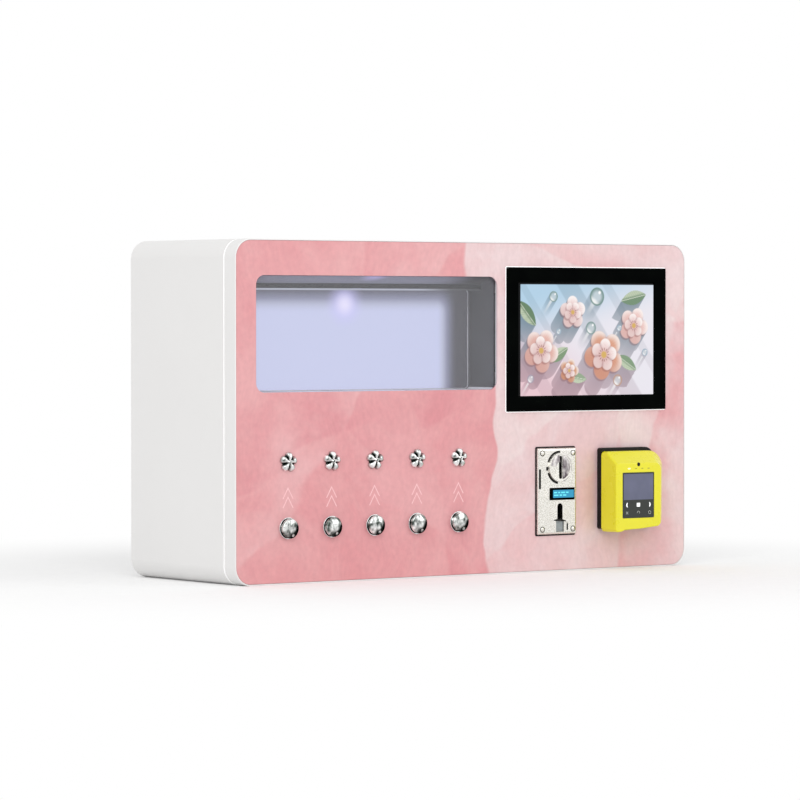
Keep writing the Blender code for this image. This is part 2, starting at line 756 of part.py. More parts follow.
def make_nozzle(index, x, material):
    """Petals outside the face, and a threaded stem with its nut and hose barb behind it."""
    rings = [at_depth(flower(x, NOZZLE_Z, NOZZLE_TIP_RADIUS, 0), -GAP - NOZZLE_PROUD)]
    for height_share, size_share in PETAL_HEIGHT_AND_SIZE_SHARES:
        line = flower(x, NOZZLE_Z, NOZZLE_RADIUS * size_share, PETAL_DEPTH_SHARE)
        rings.append(at_depth(line, -GAP - NOZZLE_PROUD * height_share))
    rings.append(at_depth(flower(x, NOZZLE_Z, NOZZLE_RADIUS, PETAL_DEPTH_SHARE), -GAP))
    nozzle = loft(f"nozzle_{index}", rings, material)
    stem = [
        (-GAP - NOZZLE_PROUD / 2, STEM_RADIUS),
        (PANE_FRONT, STEM_RADIUS),
        (PANE_FRONT, STEM_NUT_RADIUS),
        (PANE_FRONT + NUT_THICKNESS, STEM_NUT_RADIUS),
        (PANE_FRONT + NUT_THICKNESS, STEM_RADIUS),
        (STEM_LENGTH, STEM_RADIUS),
        (STEM_LENGTH, BARB_RADIUS),
        (STEM_LENGTH + BARB_LENGTH, BARB_RADIUS),
    ]
    fuse(nozzle, loft(f"nozzle_stem_{index}", turned_y(x, NOZZLE_Z, stem, SMALL_STEPS)))
    orifice = [(-GAP - NOZZLE_PROUD - OVERRUN, ORIFICE_RADIUS),
               (ORIFICE_DEPTH - GAP - NOZZLE_PROUD, ORIFICE_RADIUS)]
    cut(nozzle, loft(f"nozzle_orifice_{index}", turned_y(x, NOZZLE_Z, orifice, CORNER_STEPS)))


def button_planes():
    """Depths of the ring's front, of the head's underside and of the bore's floor."""
    ring_front = -GAP - RING_THICKNESS
    underside = ring_front - BUTTON_TRAVEL - GAP
    floor = underside + BUTTON_SHANK_LENGTH + BUTTON_TRAVEL + GAP
    return ring_front, underside, floor


def make_button(index, x, material):
    """The pressed piece: a mushroom head, its shank in the barrel and the plunger behind it."""
    underside = button_planes()[1]
    shank_end = underside + BUTTON_SHANK_LENGTH
    profile = []
    for step in range(DOME_STEPS + 1):
        angle = math.radians(DOME_START + (90 - DOME_START) * step / DOME_STEPS)
        rise = BUTTON_RISE * math.cos(angle)
        profile.append((underside - BUTTON_RIM - rise, BUTTON_RADIUS * math.sin(angle)))
    profile += [
        (underside, BUTTON_RADIUS),
        (underside, BUTTON_SHANK_RADIUS),
        (shank_end, BUTTON_SHANK_RADIUS),
        (shank_end, PLUNGER_RADIUS),
        (shank_end + PLUNGER_LENGTH, PLUNGER_RADIUS),
    ]
    button = loft(f"button_{index}", turned_y(x, BUTTON_Z, profile), material)
    set_origin(button, x, underside, BUTTON_Z)


def make_button_barrel(index, x, material):
    """The fixed ring, threaded barrel, nut and switch, with the stepped bore that the button slides in."""
    ring_front, underside, floor = button_planes()
    plunger_floor = floor + PLUNGER_LENGTH
    shank_bore, plunger_bore = BUTTON_SHANK_RADIUS + GAP, PLUNGER_RADIUS + GAP
    profile = [
        (plunger_floor, plunger_bore),
        (floor, plunger_bore),
        (floor, shank_bore),
        (ring_front, shank_bore),
        (ring_front, RING_RADIUS),
        (-GAP, RING_RADIUS),
        (-GAP, BARREL_RADIUS),
        (PANE_FRONT, BARREL_RADIUS),
        (PANE_FRONT, BARREL_NUT_RADIUS),
        (PANE_FRONT + NUT_THICKNESS, BARREL_NUT_RADIUS),
        (PANE_FRONT + NUT_THICKNESS, BARREL_RADIUS),
        (BARREL_LENGTH, BARREL_RADIUS),
        (BARREL_LENGTH, SWITCH_RADIUS),
        (BARREL_LENGTH + SWITCH_LENGTH, SWITCH_RADIUS),
    ]
    loft(f"button_barrel_{index}", turned_y(x, BUTTON_Z, profile), material)


def make_tank(index, x, material):
    shoulder = TANK_BASE_Z + TANK_HEIGHT
    neck = shoulder + TANK_SHOULDER
    cap = neck + TANK_NECK_HEIGHT
    sections = [
        (TANK_BASE_Z, TANK_SIZE / 2, TANK_SQUARENESS),
        (shoulder, TANK_SIZE / 2, TANK_SQUARENESS),
        (neck, TANK_NECK_RADIUS, 2),
        (cap, TANK_NECK_RADIUS, 2),
        (cap, TANK_CAP_RADIUS, 2),
        (TANK_TOP_Z, TANK_CAP_RADIUS, 2),
    ]
    rings = [at_height(superellipse(x, TANK_DEPTH, radius, power), z) for z, radius, power in sections]
    loft(f"perfume_tank_{index}", rings, material)


def make_pump(index, x, material):
    """A small dosing pump on the shelf, with its suction pipe down to the tank and its outlet in front."""
    profile = [
        (TANK_TOP_Z + GAP, SPIGOT_RADIUS),
        (PUMP_BASE_Z, SPIGOT_RADIUS),
        (PUMP_BASE_Z, PUMP_RADIUS),
        (PUMP_BASE_Z + PUMP_HEIGHT, PUMP_RADIUS),
        (PUMP_BASE_Z + PUMP_HEIGHT, MOTOR_RADIUS),
        (PUMP_BASE_Z + PUMP_HEIGHT + MOTOR_HEIGHT, MOTOR_RADIUS),
    ]
    pump = loft(f"pump_{index}", turned_z(x, TANK_DEPTH, profile), material)
    outlet = [(TANK_DEPTH - PUMP_RADIUS - SPIGOT_LENGTH, SPIGOT_RADIUS), (TANK_DEPTH, SPIGOT_RADIUS)]
    z = PUMP_BASE_Z + OUTLET_RISE
    fuse(pump, loft(f"pump_outlet_{index}", turned_y(x, z, outlet, SMALL_STEPS)))


def make_tube(index, x, material):
    """The hose from the pump's outlet to the nozzle's barb, along a Bezier curve."""
    start = Vector((TANK_DEPTH - PUMP_RADIUS - SPIGOT_LENGTH - GAP, PUMP_BASE_Z + OUTLET_RISE))
    end = Vector((STEM_LENGTH + BARB_LENGTH + GAP, NOZZLE_Z))
    reach = Vector(((start - end).x * TUBE_HANDLE_SHARE, 0))
    curve = bpy.data.curves.new(f"tube_{index}", "CURVE")
    curve.dimensions = "3D"
    spline = curve.splines.new("POLY")
    spline.points.add(TUBE_STEPS)
    for i, point in enumerate(spline.points):
        t = i / TUBE_STEPS
        place = ((1 - t) ** 3 * start + 3 * t * (1 - t) ** 2 * (start - reach)
                 + 3 * t ** 2 * (1 - t) * (end + reach) + t ** 3 * end)
        point.co = (x, FACE_Y + place.x, place.y, 1)
    curve.bevel_depth = TUBE_RADIUS
    curve.bevel_resolution = 2
    curve.use_fill_caps = True
    new_object(f"tube_{index}", curve, material)


def make_tank_rack(material):
    """Floor, lip, back and pump shelf folded from one strip, with a side plate at each end."""
    xs = column_xs()
    left = xs[0] - TANK_SIZE / 2 - RACK_MARGIN
    right = xs[-1] + TANK_SIZE / 2 + RACK_MARGIN
    floor, shelf = RACK_FLOOR_Z, SHELF_TOP_Z
    back = RACK_BACK + SHEET
    shelf_front = RACK_FRONT + SHELF_SETBACK
    strip = [
        (RACK_FRONT, floor + RACK_LIP),
        (RACK_FRONT, floor),
        (back, floor),
        (back, RACK_TOP_Z),
        (RACK_BACK, RACK_TOP_Z),
        (RACK_BACK, shelf),
        (shelf_front, shelf),
        (shelf_front, shelf - SHEET),
        (RACK_BACK, shelf - SHEET),
        (RACK_BACK, floor + SHEET),
        (RACK_FRONT + SHEET, floor + SHEET),
        (RACK_FRONT + SHEET, floor + RACK_LIP),
    ]
    rack = loft("tank_rack", [at_width(strip, left), at_width(strip, right)], material)
    for name, side, x in (("left", -1, left), ("right", 1, right)):
        outer = x + side * SHEET
        tip = x + side * RACK_FLANGE
        fold = PANE_FRONT + SHEET
        plate = [(x, PANE_FRONT), (tip, PANE_FRONT), (tip, fold), (outer, fold), (outer, back), (x, back)]
        fuse(rack, loft(f"rack_{name}_side", [at_height(plate, floor), at_height(plate, RACK_TOP_Z)]))
    hole = [(shelf - SHEET - OVERRUN, SPIGOT_RADIUS + GAP), (shelf + OVERRUN, SPIGOT_RADIUS + GAP)]
    cut(rack, bodies("shelf_holes", [turned_z(x, TANK_DEPTH, hole) for x in xs]))


def sector(x, z, inner, outer, start, end, steps=CORNER_STEPS):
    """Outline of a piece of a ring between two angles in degrees."""
    angles = [math.radians(start + (end - start) * i / steps) for i in range(steps + 1)]
    out = [(x + outer * math.cos(a), z + outer * math.sin(a)) for a in angles]
    back = [(x + inner * math.cos(a), z + inner * math.sin(a)) for a in reversed(angles)]
    return out + back


def half_moon(x, z, radius, offset, steps=2 * CORNER_STEPS):
    """The part of a disc to the right of a vertical line this far from its centre."""
    reach = math.acos(offset / radius)
    angles = [-reach + 2 * reach * i / steps for i in range(steps + 1)]
    return [(x + radius * math.cos(a), z + radius * math.sin(a)) for a in angles]


def return_opening():
    """Outline of the coin return: a flap's window with a narrower finger slot above it."""
    x = COIN_X + RETURN_OFFSET_X
    sill, lintel = COIN_Z - RETURN_SILL, COIN_Z - RETURN_LINTEL
    half, wide = RETURN_SLOT_WIDTH / 2, RETURN_WIDTH / 2
    top = COIN_Z - RETURN_SLOT_TOP - half
    angles = [math.pi * i / CORNER_STEPS for i in range(CORNER_STEPS + 1)]
    arc = [(x + half * math.cos(a), top + half * math.sin(a)) for a in angles]
    return [(x - wide, sill), (x + wide, sill), (x + wide, lintel), (x + half, lintel)] + arc + [
        (x - half, lintel), (x - wide, lintel)]


def make_coin_plate(material):
    front, disc_front = -COIN_PLATE_PROUD, -COIN_PLATE_PROUD - DISC_RISE
    disc_x, disc_z = COIN_X + DISC_OFFSET_X, COIN_Z + DISC_OFFSET_Z
    outline = rounded_rect(COIN_X, COIN_Z, COIN_WIDTH, COIN_HEIGHT, COIN_PLATE_CORNER, 2)
    plate = slab("coin_plate", outline, front, -GAP, material)
    raised = [turned_y(disc_x, disc_z, [(disc_front, DISC_RADIUS), (front / 2, DISC_RADIUS)], DISC_STEPS)]
    for sx in (-1, 1):
        for sz in (-1, 1):
            x = COIN_X + sx * (COIN_WIDTH / 2 - COIN_SCREW_INSET)
            z = COIN_Z + sz * (COIN_HEIGHT / 2 - COIN_SCREW_INSET)
            head = [(front - COIN_SCREW_RISE, COIN_SCREW_RADIUS / 2), (front, COIN_SCREW_RADIUS),
                    (front / 2, COIN_SCREW_RADIUS)]
            raised.append(turned_y(x, z, head, 2 * CORNER_STEPS))
    fuse(plate, bodies("coin_plate_raised", raised))
    through = disc_front - OVERRUN, OVERRUN
    slot = rounded_rect(disc_x, disc_z, SLOT_WIDTH, SLOT_HEIGHT, SLOT_CORNER, 2)
    moon = half_moon(disc_x, disc_z, REJECT_RADIUS + GAP, REJECT_OFFSET - GAP)
    lcd = rounded_rect(COIN_X + COIN_LCD_OFFSET_X, COIN_Z + COIN_LCD_OFFSET_Z, COIN_LCD_WIDTH + 2 * GAP,
                       COIN_LCD_HEIGHT + 2 * GAP, GAP, 1)
    openings = [[at_depth(line, end) for end in through] for line in (slot, moon, lcd, return_opening())]
    cut(plate, bodies("coin_plate_openings", openings))
    grooves = [sector(disc_x, disc_z, DISC_RADIUS, DISC_RADIUS + GROOVE_WIDTH, *arc) for arc in GROOVE_ARCS]
    ends = front - OVERRUN, front + GROOVE_DEPTH
    cut(plate, bodies("coin_plate_grooves", [[at_depth(line, end) for end in ends] for line in grooves]))


def make_coin_reject_button(material):
    disc_x, disc_z = COIN_X + DISC_OFFSET_X, COIN_Z + DISC_OFFSET_Z
    front = -COIN_PLATE_PROUD - DISC_RISE - REJECT_PROUD
    outline = half_moon(disc_x, disc_z, REJECT_RADIUS, REJECT_OFFSET)
    back = -REJECT_TRAVEL - REJECT_CLEARANCE
    button = slab("coin_reject_button", outline, front, back, material)
    set_origin(button, disc_x, front, disc_z)


def make_coin_display(material):
    outline = rounded_rect(COIN_X + COIN_LCD_OFFSET_X, COIN_Z + COIN_LCD_OFFSET_Z, COIN_LCD_WIDTH,
                           COIN_LCD_HEIGHT, GAP, 1)
    front = -COIN_PLATE_PROUD - COIN_LCD_PROUD
    slab("coin_display", outline, front, front + COIN_LCD_THICKNESS, material)


def make_coin_return_flap(material):
    """A leaf in the return's window, hung from its upper edge."""
    x, half = COIN_X + RETURN_OFFSET_X, RETURN_WIDTH / 2 - GAP
    bottom, top = COIN_Z - RETURN_SILL + GAP, COIN_Z - RETURN_LINTEL - GAP
    front = FLAP_RECESS - COIN_PLATE_PROUD
    flap = box("coin_return_flap", x - half, x + half, front, front + FLAP_THICKNESS, bottom, top, material)
    set_origin(flap, x, front + FLAP_THICKNESS / 2, top - FLAP_PIVOT_DROP)


def make_coin_mechanism(material):
    """The selector behind the plate, with the coin's way in, its chute down and the return pocket."""
    half_width, half_height = MECHANISM_WIDTH / 2, MECHANISM_HEIGHT / 2
    slot_x, slot_z = COIN_X + DISC_OFFSET_X, COIN_Z + DISC_OFFSET_Z
    mechanism = box("coin_mechanism", COIN_X - half_width, COIN_X + half_width, 0, MECHANISM_DEPTH,
                    COIN_Z - half_height, COIN_Z + half_height, material)
    chute_back = MECHANISM_DEPTH - CHUTE_BACK_WALL
    chute_front = chute_back - CHUTE_LENGTH
    left, right = slot_x - SLOT_WIDTH / 2, slot_x + SLOT_WIDTH / 2
    top = slot_z + SLOT_HEIGHT / 2
    path = [(-OVERRUN, top), (-OVERRUN, slot_z - SLOT_HEIGHT / 2), (chute_front, slot_z - SLOT_HEIGHT / 2),
            (chute_front, COIN_Z - half_height - OVERRUN), (chute_back, COIN_Z - half_height - OVERRUN),
            (chute_back, top)]
    cut(mechanism, loft("coin_path", [at_width(path, left), at_width(path, right)]))
    x = COIN_X + RETURN_OFFSET_X
    cut(mechanism, box("return_pocket", x - RETURN_WIDTH / 2, x + RETURN_WIDTH / 2, -OVERRUN, RETURN_DEPTH,
                       COIN_Z - RETURN_SILL, COIN_Z - RETURN_SLOT_TOP))


def reader_outline(corners, inset=0.0):
    """The card reader's outline, from corners placed about its centre, moved in by this much."""
    placed = []
    for x, z, radius in corners:
        inward = -math.copysign(inset, x), -math.copysign(inset, z)
        placed.append((READER_X + x + inward[0], READER_Z + z + inward[1], max(radius - inset, inset)))
    return rounded_polygon(placed)


def make_reader_base(material):
    outline = rounded_rect(READER_X, READER_Z, READER_WIDTH, READER_HEIGHT, READER_CORNER, 3)
    base = slab("reader_base", outline, -READER_BASE_PROUD, -GAP, material)
    boss = [
        (-READER_BASE_PROUD / 2, READER_BOSS_RADIUS),
        (PANE_FRONT, READER_BOSS_RADIUS),
        (PANE_FRONT, READER_NUT_RADIUS),
        (PANE_FRONT + NUT_THICKNESS, READER_NUT_RADIUS),
        (PANE_FRONT + NUT_THICKNESS, READER_BOSS_RADIUS),
        (READER_BOSS_LENGTH, READER_BOSS_RADIUS),
    ]
    fuse(base, loft("reader_boss", turned_y(READER_X, READER_Z, boss, SMALL_STEPS)))
    x, z = READER_X + GLASS_OFFSET_X, READER_Z + READER_CORE_LIFT
    core = rounded_rect(x, z, READER_CORE_WIDTH, READER_CORE_HEIGHT, READER_CORNER, 2)
    fuse(base, slab("reader_core", core, -READER_BASE_PROUD - READER_CORE_DEPTH, -READER_BASE_PROUD / 2))


def make_reader_housing(material):
    """The coloured shell, whose sides run straight back and then slope in to a smaller front."""
    back, front = -READER_BASE_PROUD - GAP, -READER_PROUD
    shoulder = back + (front - back) * HOUSING_SIDE_SHARE
    housing = loft("reader_housing", [
        at_depth(reader_outline(HOUSING_BACK), back),
        at_depth(reader_outline(HOUSING_BACK), shoulder),
        at_depth(reader_outline(HOUSING_FRONT), front),
    ], material)
    wall = READER_WALL
    cut(housing, loft("reader_hollow", [
        at_depth(reader_outline(HOUSING_BACK, wall), back + OVERRUN),
        at_depth(reader_outline(HOUSING_BACK, wall), shoulder),
        at_depth(reader_outline(HOUSING_FRONT, wall), front + wall + GLASS_THICKNESS),
    ]))
    glass = rounded_rect(READER_X + GLASS_OFFSET_X, READER_Z + GLASS_OFFSET_Z, GLASS_WIDTH + 2 * GAP,
                         GLASS_HEIGHT + 2 * GAP, GLASS_CORNER + GAP, 2)
    cut(housing, slab("glass_recess", glass, front - OVERRUN, front + GLASS_THICKNESS + GAP))
    x = READER_X + CARD_SLOT_OFFSET_X
    bottom = READER_Z + HOUSING_BACK[0][1] - OVERRUN
    slot_front = -CARD_SLOT_PROUD - CARD_SLOT_THICKNESS / 2
    slot_back = slot_front + CARD_SLOT_THICKNESS
    cut(housing, box("card_slot", x - CARD_SLOT_WIDTH / 2, x + CARD_SLOT_WIDTH / 2, slot_front, slot_back,
                     bottom, bottom + CARD_SLOT_HEIGHT))
    throat = bottom + OVERRUN + THROAT_HEIGHT
    half = THROAT_WIDTH / 2
    notch = [(x - half - THROAT_HEIGHT, bottom), (x + half + THROAT_HEIGHT, bottom), (x + half, throat),
             (x - half, throat)]
    cut(housing, slab("card_throat", notch, front - OVERRUN, -CARD_SLOT_PROUD))


def make_reader_glass(material):
    outline = rounded_rect(READER_X + GLASS_OFFSET_X, READER_Z + GLASS_OFFSET_Z, GLASS_WIDTH, GLASS_HEIGHT,
                           GLASS_CORNER, 2)
    slab("reader_glass", outline, -READER_PROUD, GLASS_THICKNESS - READER_PROUD, material)


def knuckle_ends(index):
    """Lower and upper end of one knuckle, with a gap to its neighbours."""
    pitch = HINGE_LENGTH / KNUCKLE_COUNT
    bottom = HINGE_BOTTOM + index * pitch
    return bottom + GAP / 2, bottom + pitch - GAP / 2


def fuse_knuckles(leaf, name, first):
    """Adds every second knuckle to a leaf, then clears room for the others and for the pin."""
    solid, clear = [], []
    for index in range(KNUCKLE_COUNT):
        low, high = knuckle_ends(index)
        if index % 2 == first:
            solid.append(turned_z(PIN_X, PIN_DEPTH, [(low, KNUCKLE_RADIUS), (high, KNUCKLE_RADIUS)]))
        else:
            reach = KNUCKLE_RADIUS + GAP
            clear.append(turned_z(PIN_X, PIN_DEPTH, [(low - GAP, reach), (high + GAP, reach)]))
    fuse(leaf, bodies(f"{name}_knuckles", solid))
    cut(leaf, bodies(f"{name}_clearances", clear))
    ends = HINGE_BOTTOM - OVERRUN, HINGE_BOTTOM + HINGE_LENGTH + OVERRUN
    bore = [(end, PIN_RADIUS + GAP) for end in ends]
    cut(leaf, loft(f"{name}_bore", turned_z(PIN_X, PIN_DEPTH, bore)))


def make_hinge(material):
    """The cabinet's leaf goes round the door's flange, so that the door can swing clear of it."""
    low, high = HINGE_BOTTOM, HINGE_BOTTOM + HINGE_LENGTH
    wall = GAP - INNER_X
    half = ARM_THICKNESS / 2
    elbow = PIN_X + ARM_REACH
    neck = PIN_DEPTH + ARM_SETBACK
    swan = [
        (PIN_X, PIN_DEPTH - half),
        (elbow, PIN_DEPTH - half),
        (elbow, neck),
        (wall + LEAF_THICKNESS, neck),
        (wall + LEAF_THICKNESS, neck + BODY_LEAF_LENGTH),
        (wall, neck + BODY_LEAF_LENGTH),
        (wall, neck - ARM_THICKNESS),
        (elbow - ARM_THICKNESS, neck - ARM_THICKNESS),
        (elbow - ARM_THICKNESS, PIN_DEPTH + half),
        (PIN_X, PIN_DEPTH + half),
    ]
    body_leaf = loft("hinge_body_leaf", [at_height(swan, low), at_height(swan, high)], material)
    fuse_knuckles(body_leaf, "body_leaf", 0)
    flat = [
        (wall, PIN_DEPTH - DOOR_LEAF_FRONT),
        (wall + LEAF_THICKNESS, PIN_DEPTH - DOOR_LEAF_FRONT),
        (wall + LEAF_THICKNESS, PIN_DEPTH + DOOR_LEAF_BACK),
        (wall, PIN_DEPTH + DOOR_LEAF_BACK),
    ]
    door_leaf = loft("hinge_door_leaf", [at_height(flat, low), at_height(flat, high)], material)
    fuse_knuckles(door_leaf, "door_leaf", 1)
    pin = [(low, PIN_RADIUS), (high, PIN_RADIUS)]
    loft("hinge_pin", turned_z(PIN_X, PIN_DEPTH, pin), material)


def make_lock_body(material):
    seat = SIDE_X - DIMPLE_DEPTH + GAP
    nut = SIDE_X - DIMPLE_DEPTH - SHEET - GAP
    bore = PLUG_RADIUS + GAP
    profile = [
        (seat + LOCK_HEAD_THICKNESS, bore),
        (seat + LOCK_HEAD_THICKNESS, LOCK_HEAD_RADIUS),
        (seat, LOCK_HEAD_RADIUS),
        (seat, LOCK_RADIUS),
        (nut, LOCK_RADIUS),
        (nut, LOCK_NUT_RADIUS),
        (nut - LOCK_NUT_THICKNESS, LOCK_NUT_RADIUS),
        (nut - LOCK_NUT_THICKNESS, LOCK_RADIUS),
        (seat - LOCK_LENGTH, LOCK_RADIUS),
        (seat - LOCK_LENGTH, bore),
    ]
    loft("lock_body", turned_x(LOCK_DEPTH, LOCK_Z, profile), material, closed=True)


def make_lock_cam(material):
    """Plug and hooked cam, at rest with the cam hanging down, clear of the door."""
    outer = SIDE_X - DIMPLE_DEPTH + GAP + LOCK_HEAD_THICKNESS - PLUG_SINK
    right = SIDE_X - DIMPLE_DEPTH - LOCK_LENGTH
    left = right - CAM_THICKNESS
    plug = [(left + CAM_THICKNESS / 2, PLUG_RADIUS), (outer, PLUG_RADIUS)]
    cam = loft("lock_cam", turned_x(LOCK_DEPTH, LOCK_Z, plug), material)
    half = CAM_WIDTH / 2
    tip = LOCK_Z - CAM_LENGTH
    hook = LOCK_DEPTH - half - CAM_HOOK_HEIGHT
    lever = [
        (LOCK_DEPTH - half, LOCK_Z + half),
        (LOCK_DEPTH - half, tip + CAM_HOOK_LENGTH),
        (hook, tip + CAM_HOOK_LENGTH),
        (hook, tip),
        (LOCK_DEPTH + half, tip),
        (LOCK_DEPTH + half, LOCK_Z + half),
    ]
    fuse(cam, loft("cam_lever", [at_width(lever, left), at_width(lever, right)]))
    cut(cam, box("keyway", outer - KEYWAY_DEPTH, outer + OVERRUN, LOCK_DEPTH - KEYWAY_WIDTH / 2,
                 LOCK_DEPTH + KEYWAY_WIDTH / 2, LOCK_Z - KEYWAY_LENGTH / 2, LOCK_Z + KEYWAY_LENGTH / 2))
    set_origin(cam, left, LOCK_DEPTH, LOCK_Z)


def make_lock_keeper(material):
    """A bar on the door's flange, which the turned cam's hook reaches round."""
    right = INNER_X - GAP
    left = SIDE_X - DIMPLE_DEPTH - LOCK_LENGTH - CAM_THICKNESS - KEEPER_OVERHANG
    front = LOCK_DEPTH - CAM_LENGTH + CAM_HOOK_LENGTH + KEEPER_CLEARANCE
    bottom = LOCK_Z + CAM_WIDTH / 2 + KEEPER_CLEARANCE
    base_front = front + (KEEPER_BAR_LENGTH - KEEPER_BASE_LENGTH) / 2
    base_bottom = bottom + (KEEPER_BAR_HEIGHT - KEEPER_BASE_HEIGHT) / 2
    keeper = box("lock_keeper", right - SHEET, right, base_front, base_front + KEEPER_BASE_LENGTH,
                 base_bottom, base_bottom + KEEPER_BASE_HEIGHT, material)
    fuse(keeper, box("keeper_bar", left, right - SHEET / 2, front, front + KEEPER_BAR_LENGTH, bottom,
                     bottom + KEEPER_BAR_HEIGHT))


def make_coin_box(material):
    """An open tray on the cabinet's floor, under the chute of the coin mechanism."""
    front = BODY_FRONT + COIN_BOX_SETBACK
    middle = front + COIN_BOX_LENGTH / 2
    x, bottom = COIN_X + DISC_OFFSET_X, SHEET + GAP
    outer = rounded_rect(x, middle, COIN_BOX_WIDTH, COIN_BOX_LENGTH, COIN_BOX_CORNER, 2)
    inner = rounded_rect(x, middle, COIN_BOX_WIDTH - 2 * COIN_BOX_WALL, COIN_BOX_LENGTH - 2 * COIN_BOX_WALL,
                         COIN_BOX_CORNER - COIN_BOX_WALL, 2)
    top = bottom + COIN_BOX_HEIGHT
    loft("coin_box", [at_height(inner, bottom + COIN_BOX_WALL), at_height(inner, top),
                      at_height(outer, top), at_height(outer, bottom)], material)


def make_power_supply(material):
    """A metal case on the cabinet's floor, with its terminal step at one end."""
    back = REAR_WALL - SUPPLY_SETBACK
    left = SUPPLY_INSET - SIDE_X
    right = left + SUPPLY_WIDTH
    bottom = SHEET + GAP
    top = bottom + SUPPLY_HEIGHT
    supply = box("power_supply", left, right, back - SUPPLY_LENGTH, back, bottom, top, material)
    cut(supply, box("terminal_step", right - TERMINAL_LENGTH, right + OVERRUN,
                    back - SUPPLY_LENGTH - OVERRUN, back + OVERRUN, top - TERMINAL_DROP, top + OVERRUN))


def make_control_board(material):
    """A circuit board on four standoffs of the rear wall, with its connector strips and chip."""
    back = REAR_WALL - GAP - STANDOFF_LENGTH
    front = back - BOARD_THICKNESS
    half_width, half_height = BOARD_WIDTH / 2, BOARD_HEIGHT / 2
    board = box("control_board", BOARD_X - half_width, BOARD_X + half_width, front, back,
                BOARD_Z - half_height, BOARD_Z + half_height, material)
    mounted = []
    for sx in (-1, 1):
        for sz in (-1, 1):
            x = BOARD_X + sx * (half_width - STANDOFF_INSET)
            z = BOARD_Z + sz * (half_height - STANDOFF_INSET)
            ends = [(front + BOARD_THICKNESS / 2, STANDOFF_RADIUS), (REAR_WALL - GAP, STANDOFF_RADIUS)]
            mounted.append(turned_y(x, z, ends, 2 * CORNER_STEPS))
    middle = front + BOARD_THICKNESS / 2
    for sz in (-1, 1):
        z = BOARD_Z + sz * (half_height - STANDOFF_INSET - CONNECTOR_HEIGHT)
        mounted.append(box_rings(BOARD_X - CONNECTOR_WIDTH / 2, BOARD_X + CONNECTOR_WIDTH / 2,
                                 front - CONNECTOR_DEPTH, middle, z - CONNECTOR_HEIGHT / 2,
                                 z + CONNECTOR_HEIGHT / 2))
    mounted.append(box_rings(BOARD_X - CHIP_SIZE / 2, BOARD_X + CHIP_SIZE / 2, front - CHIP_DEPTH, middle,
                             BOARD_Z - CHIP_SIZE / 2, BOARD_Z + CHIP_SIZE / 2))
    fuse(board, bodies("board_parts", mounted))


def make_power_inlet(material):
    """Mains socket and switch frame in one moulding, in the well of the rear wall."""
    seat = CABINET_DEPTH - WELL_DEPTH + GAP
    outside = seat + INLET_FLANGE_THICKNESS
    flange = rounded_rect(INLET_X, INLET_Z, INLET_FLANGE_WIDTH, INLET_FLANGE_HEIGHT, INLET_CORNER, 3)
    inlet = slab("power_inlet", flange, seat, outside, material)
    body = rounded_rect(INLET_X, INLET_Z, INLET_BODY_WIDTH, INLET_BODY_HEIGHT, INLET_CORNER, 3)
    fuse(inlet, slab("inlet_body", body, seat - INLET_BODY_DEPTH, seat + INLET_FLANGE_THICKNESS / 2))
    socket_x = INLET_X + SOCKET_OFFSET_X
    socket = rounded_rect(socket_x, INLET_Z, SOCKET_WIDTH, SOCKET_HEIGHT, SOCKET_CORNER, 2)
    floor = outside - SOCKET_DEPTH
    cut(inlet, slab("socket_hollow", socket, floor, outside + OVERRUN))
    contacts = []
    for place in (-1, 0, 1):
        x = socket_x + place * CONTACT_SPACING
        z = INLET_Z + (CONTACT_RISE if place == 0 else -CONTACT_RISE / 2)
        contacts.append(box_rings(x - CONTACT_WIDTH / 2, x + CONTACT_WIDTH / 2, floor - OVERRUN,
                                  floor + CONTACT_LENGTH, z - CONTACT_HEIGHT / 2, z + CONTACT_HEIGHT / 2))
    fuse(inlet, bodies("inlet_contacts", contacts))
    rocker_x = INLET_X + ROCKER_OFFSET_X
    half = ROCKER_WIDTH / 2 + GAP
    tall = ROCKER_HEIGHT / 2 + ROCKER_CLEARANCE
    cut(inlet, box("rocker_well", rocker_x - half, rocker_x + half, outside - ROCKER_WELL_DEPTH,
                   outside + OVERRUN, INLET_Z - tall, INLET_Z + tall))


def make_inlet_rocker(material):
    """A rocker that tilts about a cross axis, resting with its upper end in."""
    axis = CABINET_DEPTH - WELL_DEPTH + GAP + INLET_FLANGE_THICKNESS - ROCKER_DEPTH / 2
    x, half = INLET_X + ROCKER_OFFSET_X, ROCKER_HEIGHT / 2
    crown = axis + ROCKER_DEPTH / 2
    line = [(axis - ROCKER_DEPTH / 2, INLET_Z), (crown, INLET_Z - half), (crown - ROCKER_CROWN, INLET_Z),
            (crown, INLET_Z + half)]
    ends = x - ROCKER_WIDTH / 2, x + ROCKER_WIDTH / 2
    rocker = loft("inlet_rocker", [at_width(line, end) for end in ends], material)
    set_origin(rocker, x, axis, INLET_Z)
    rocker.rotation_euler.x = math.radians(ROCKER_TILT)


def clear_scene():
    for obj in list(bpy.data.objects):
        bpy.data.objects.remove(obj)


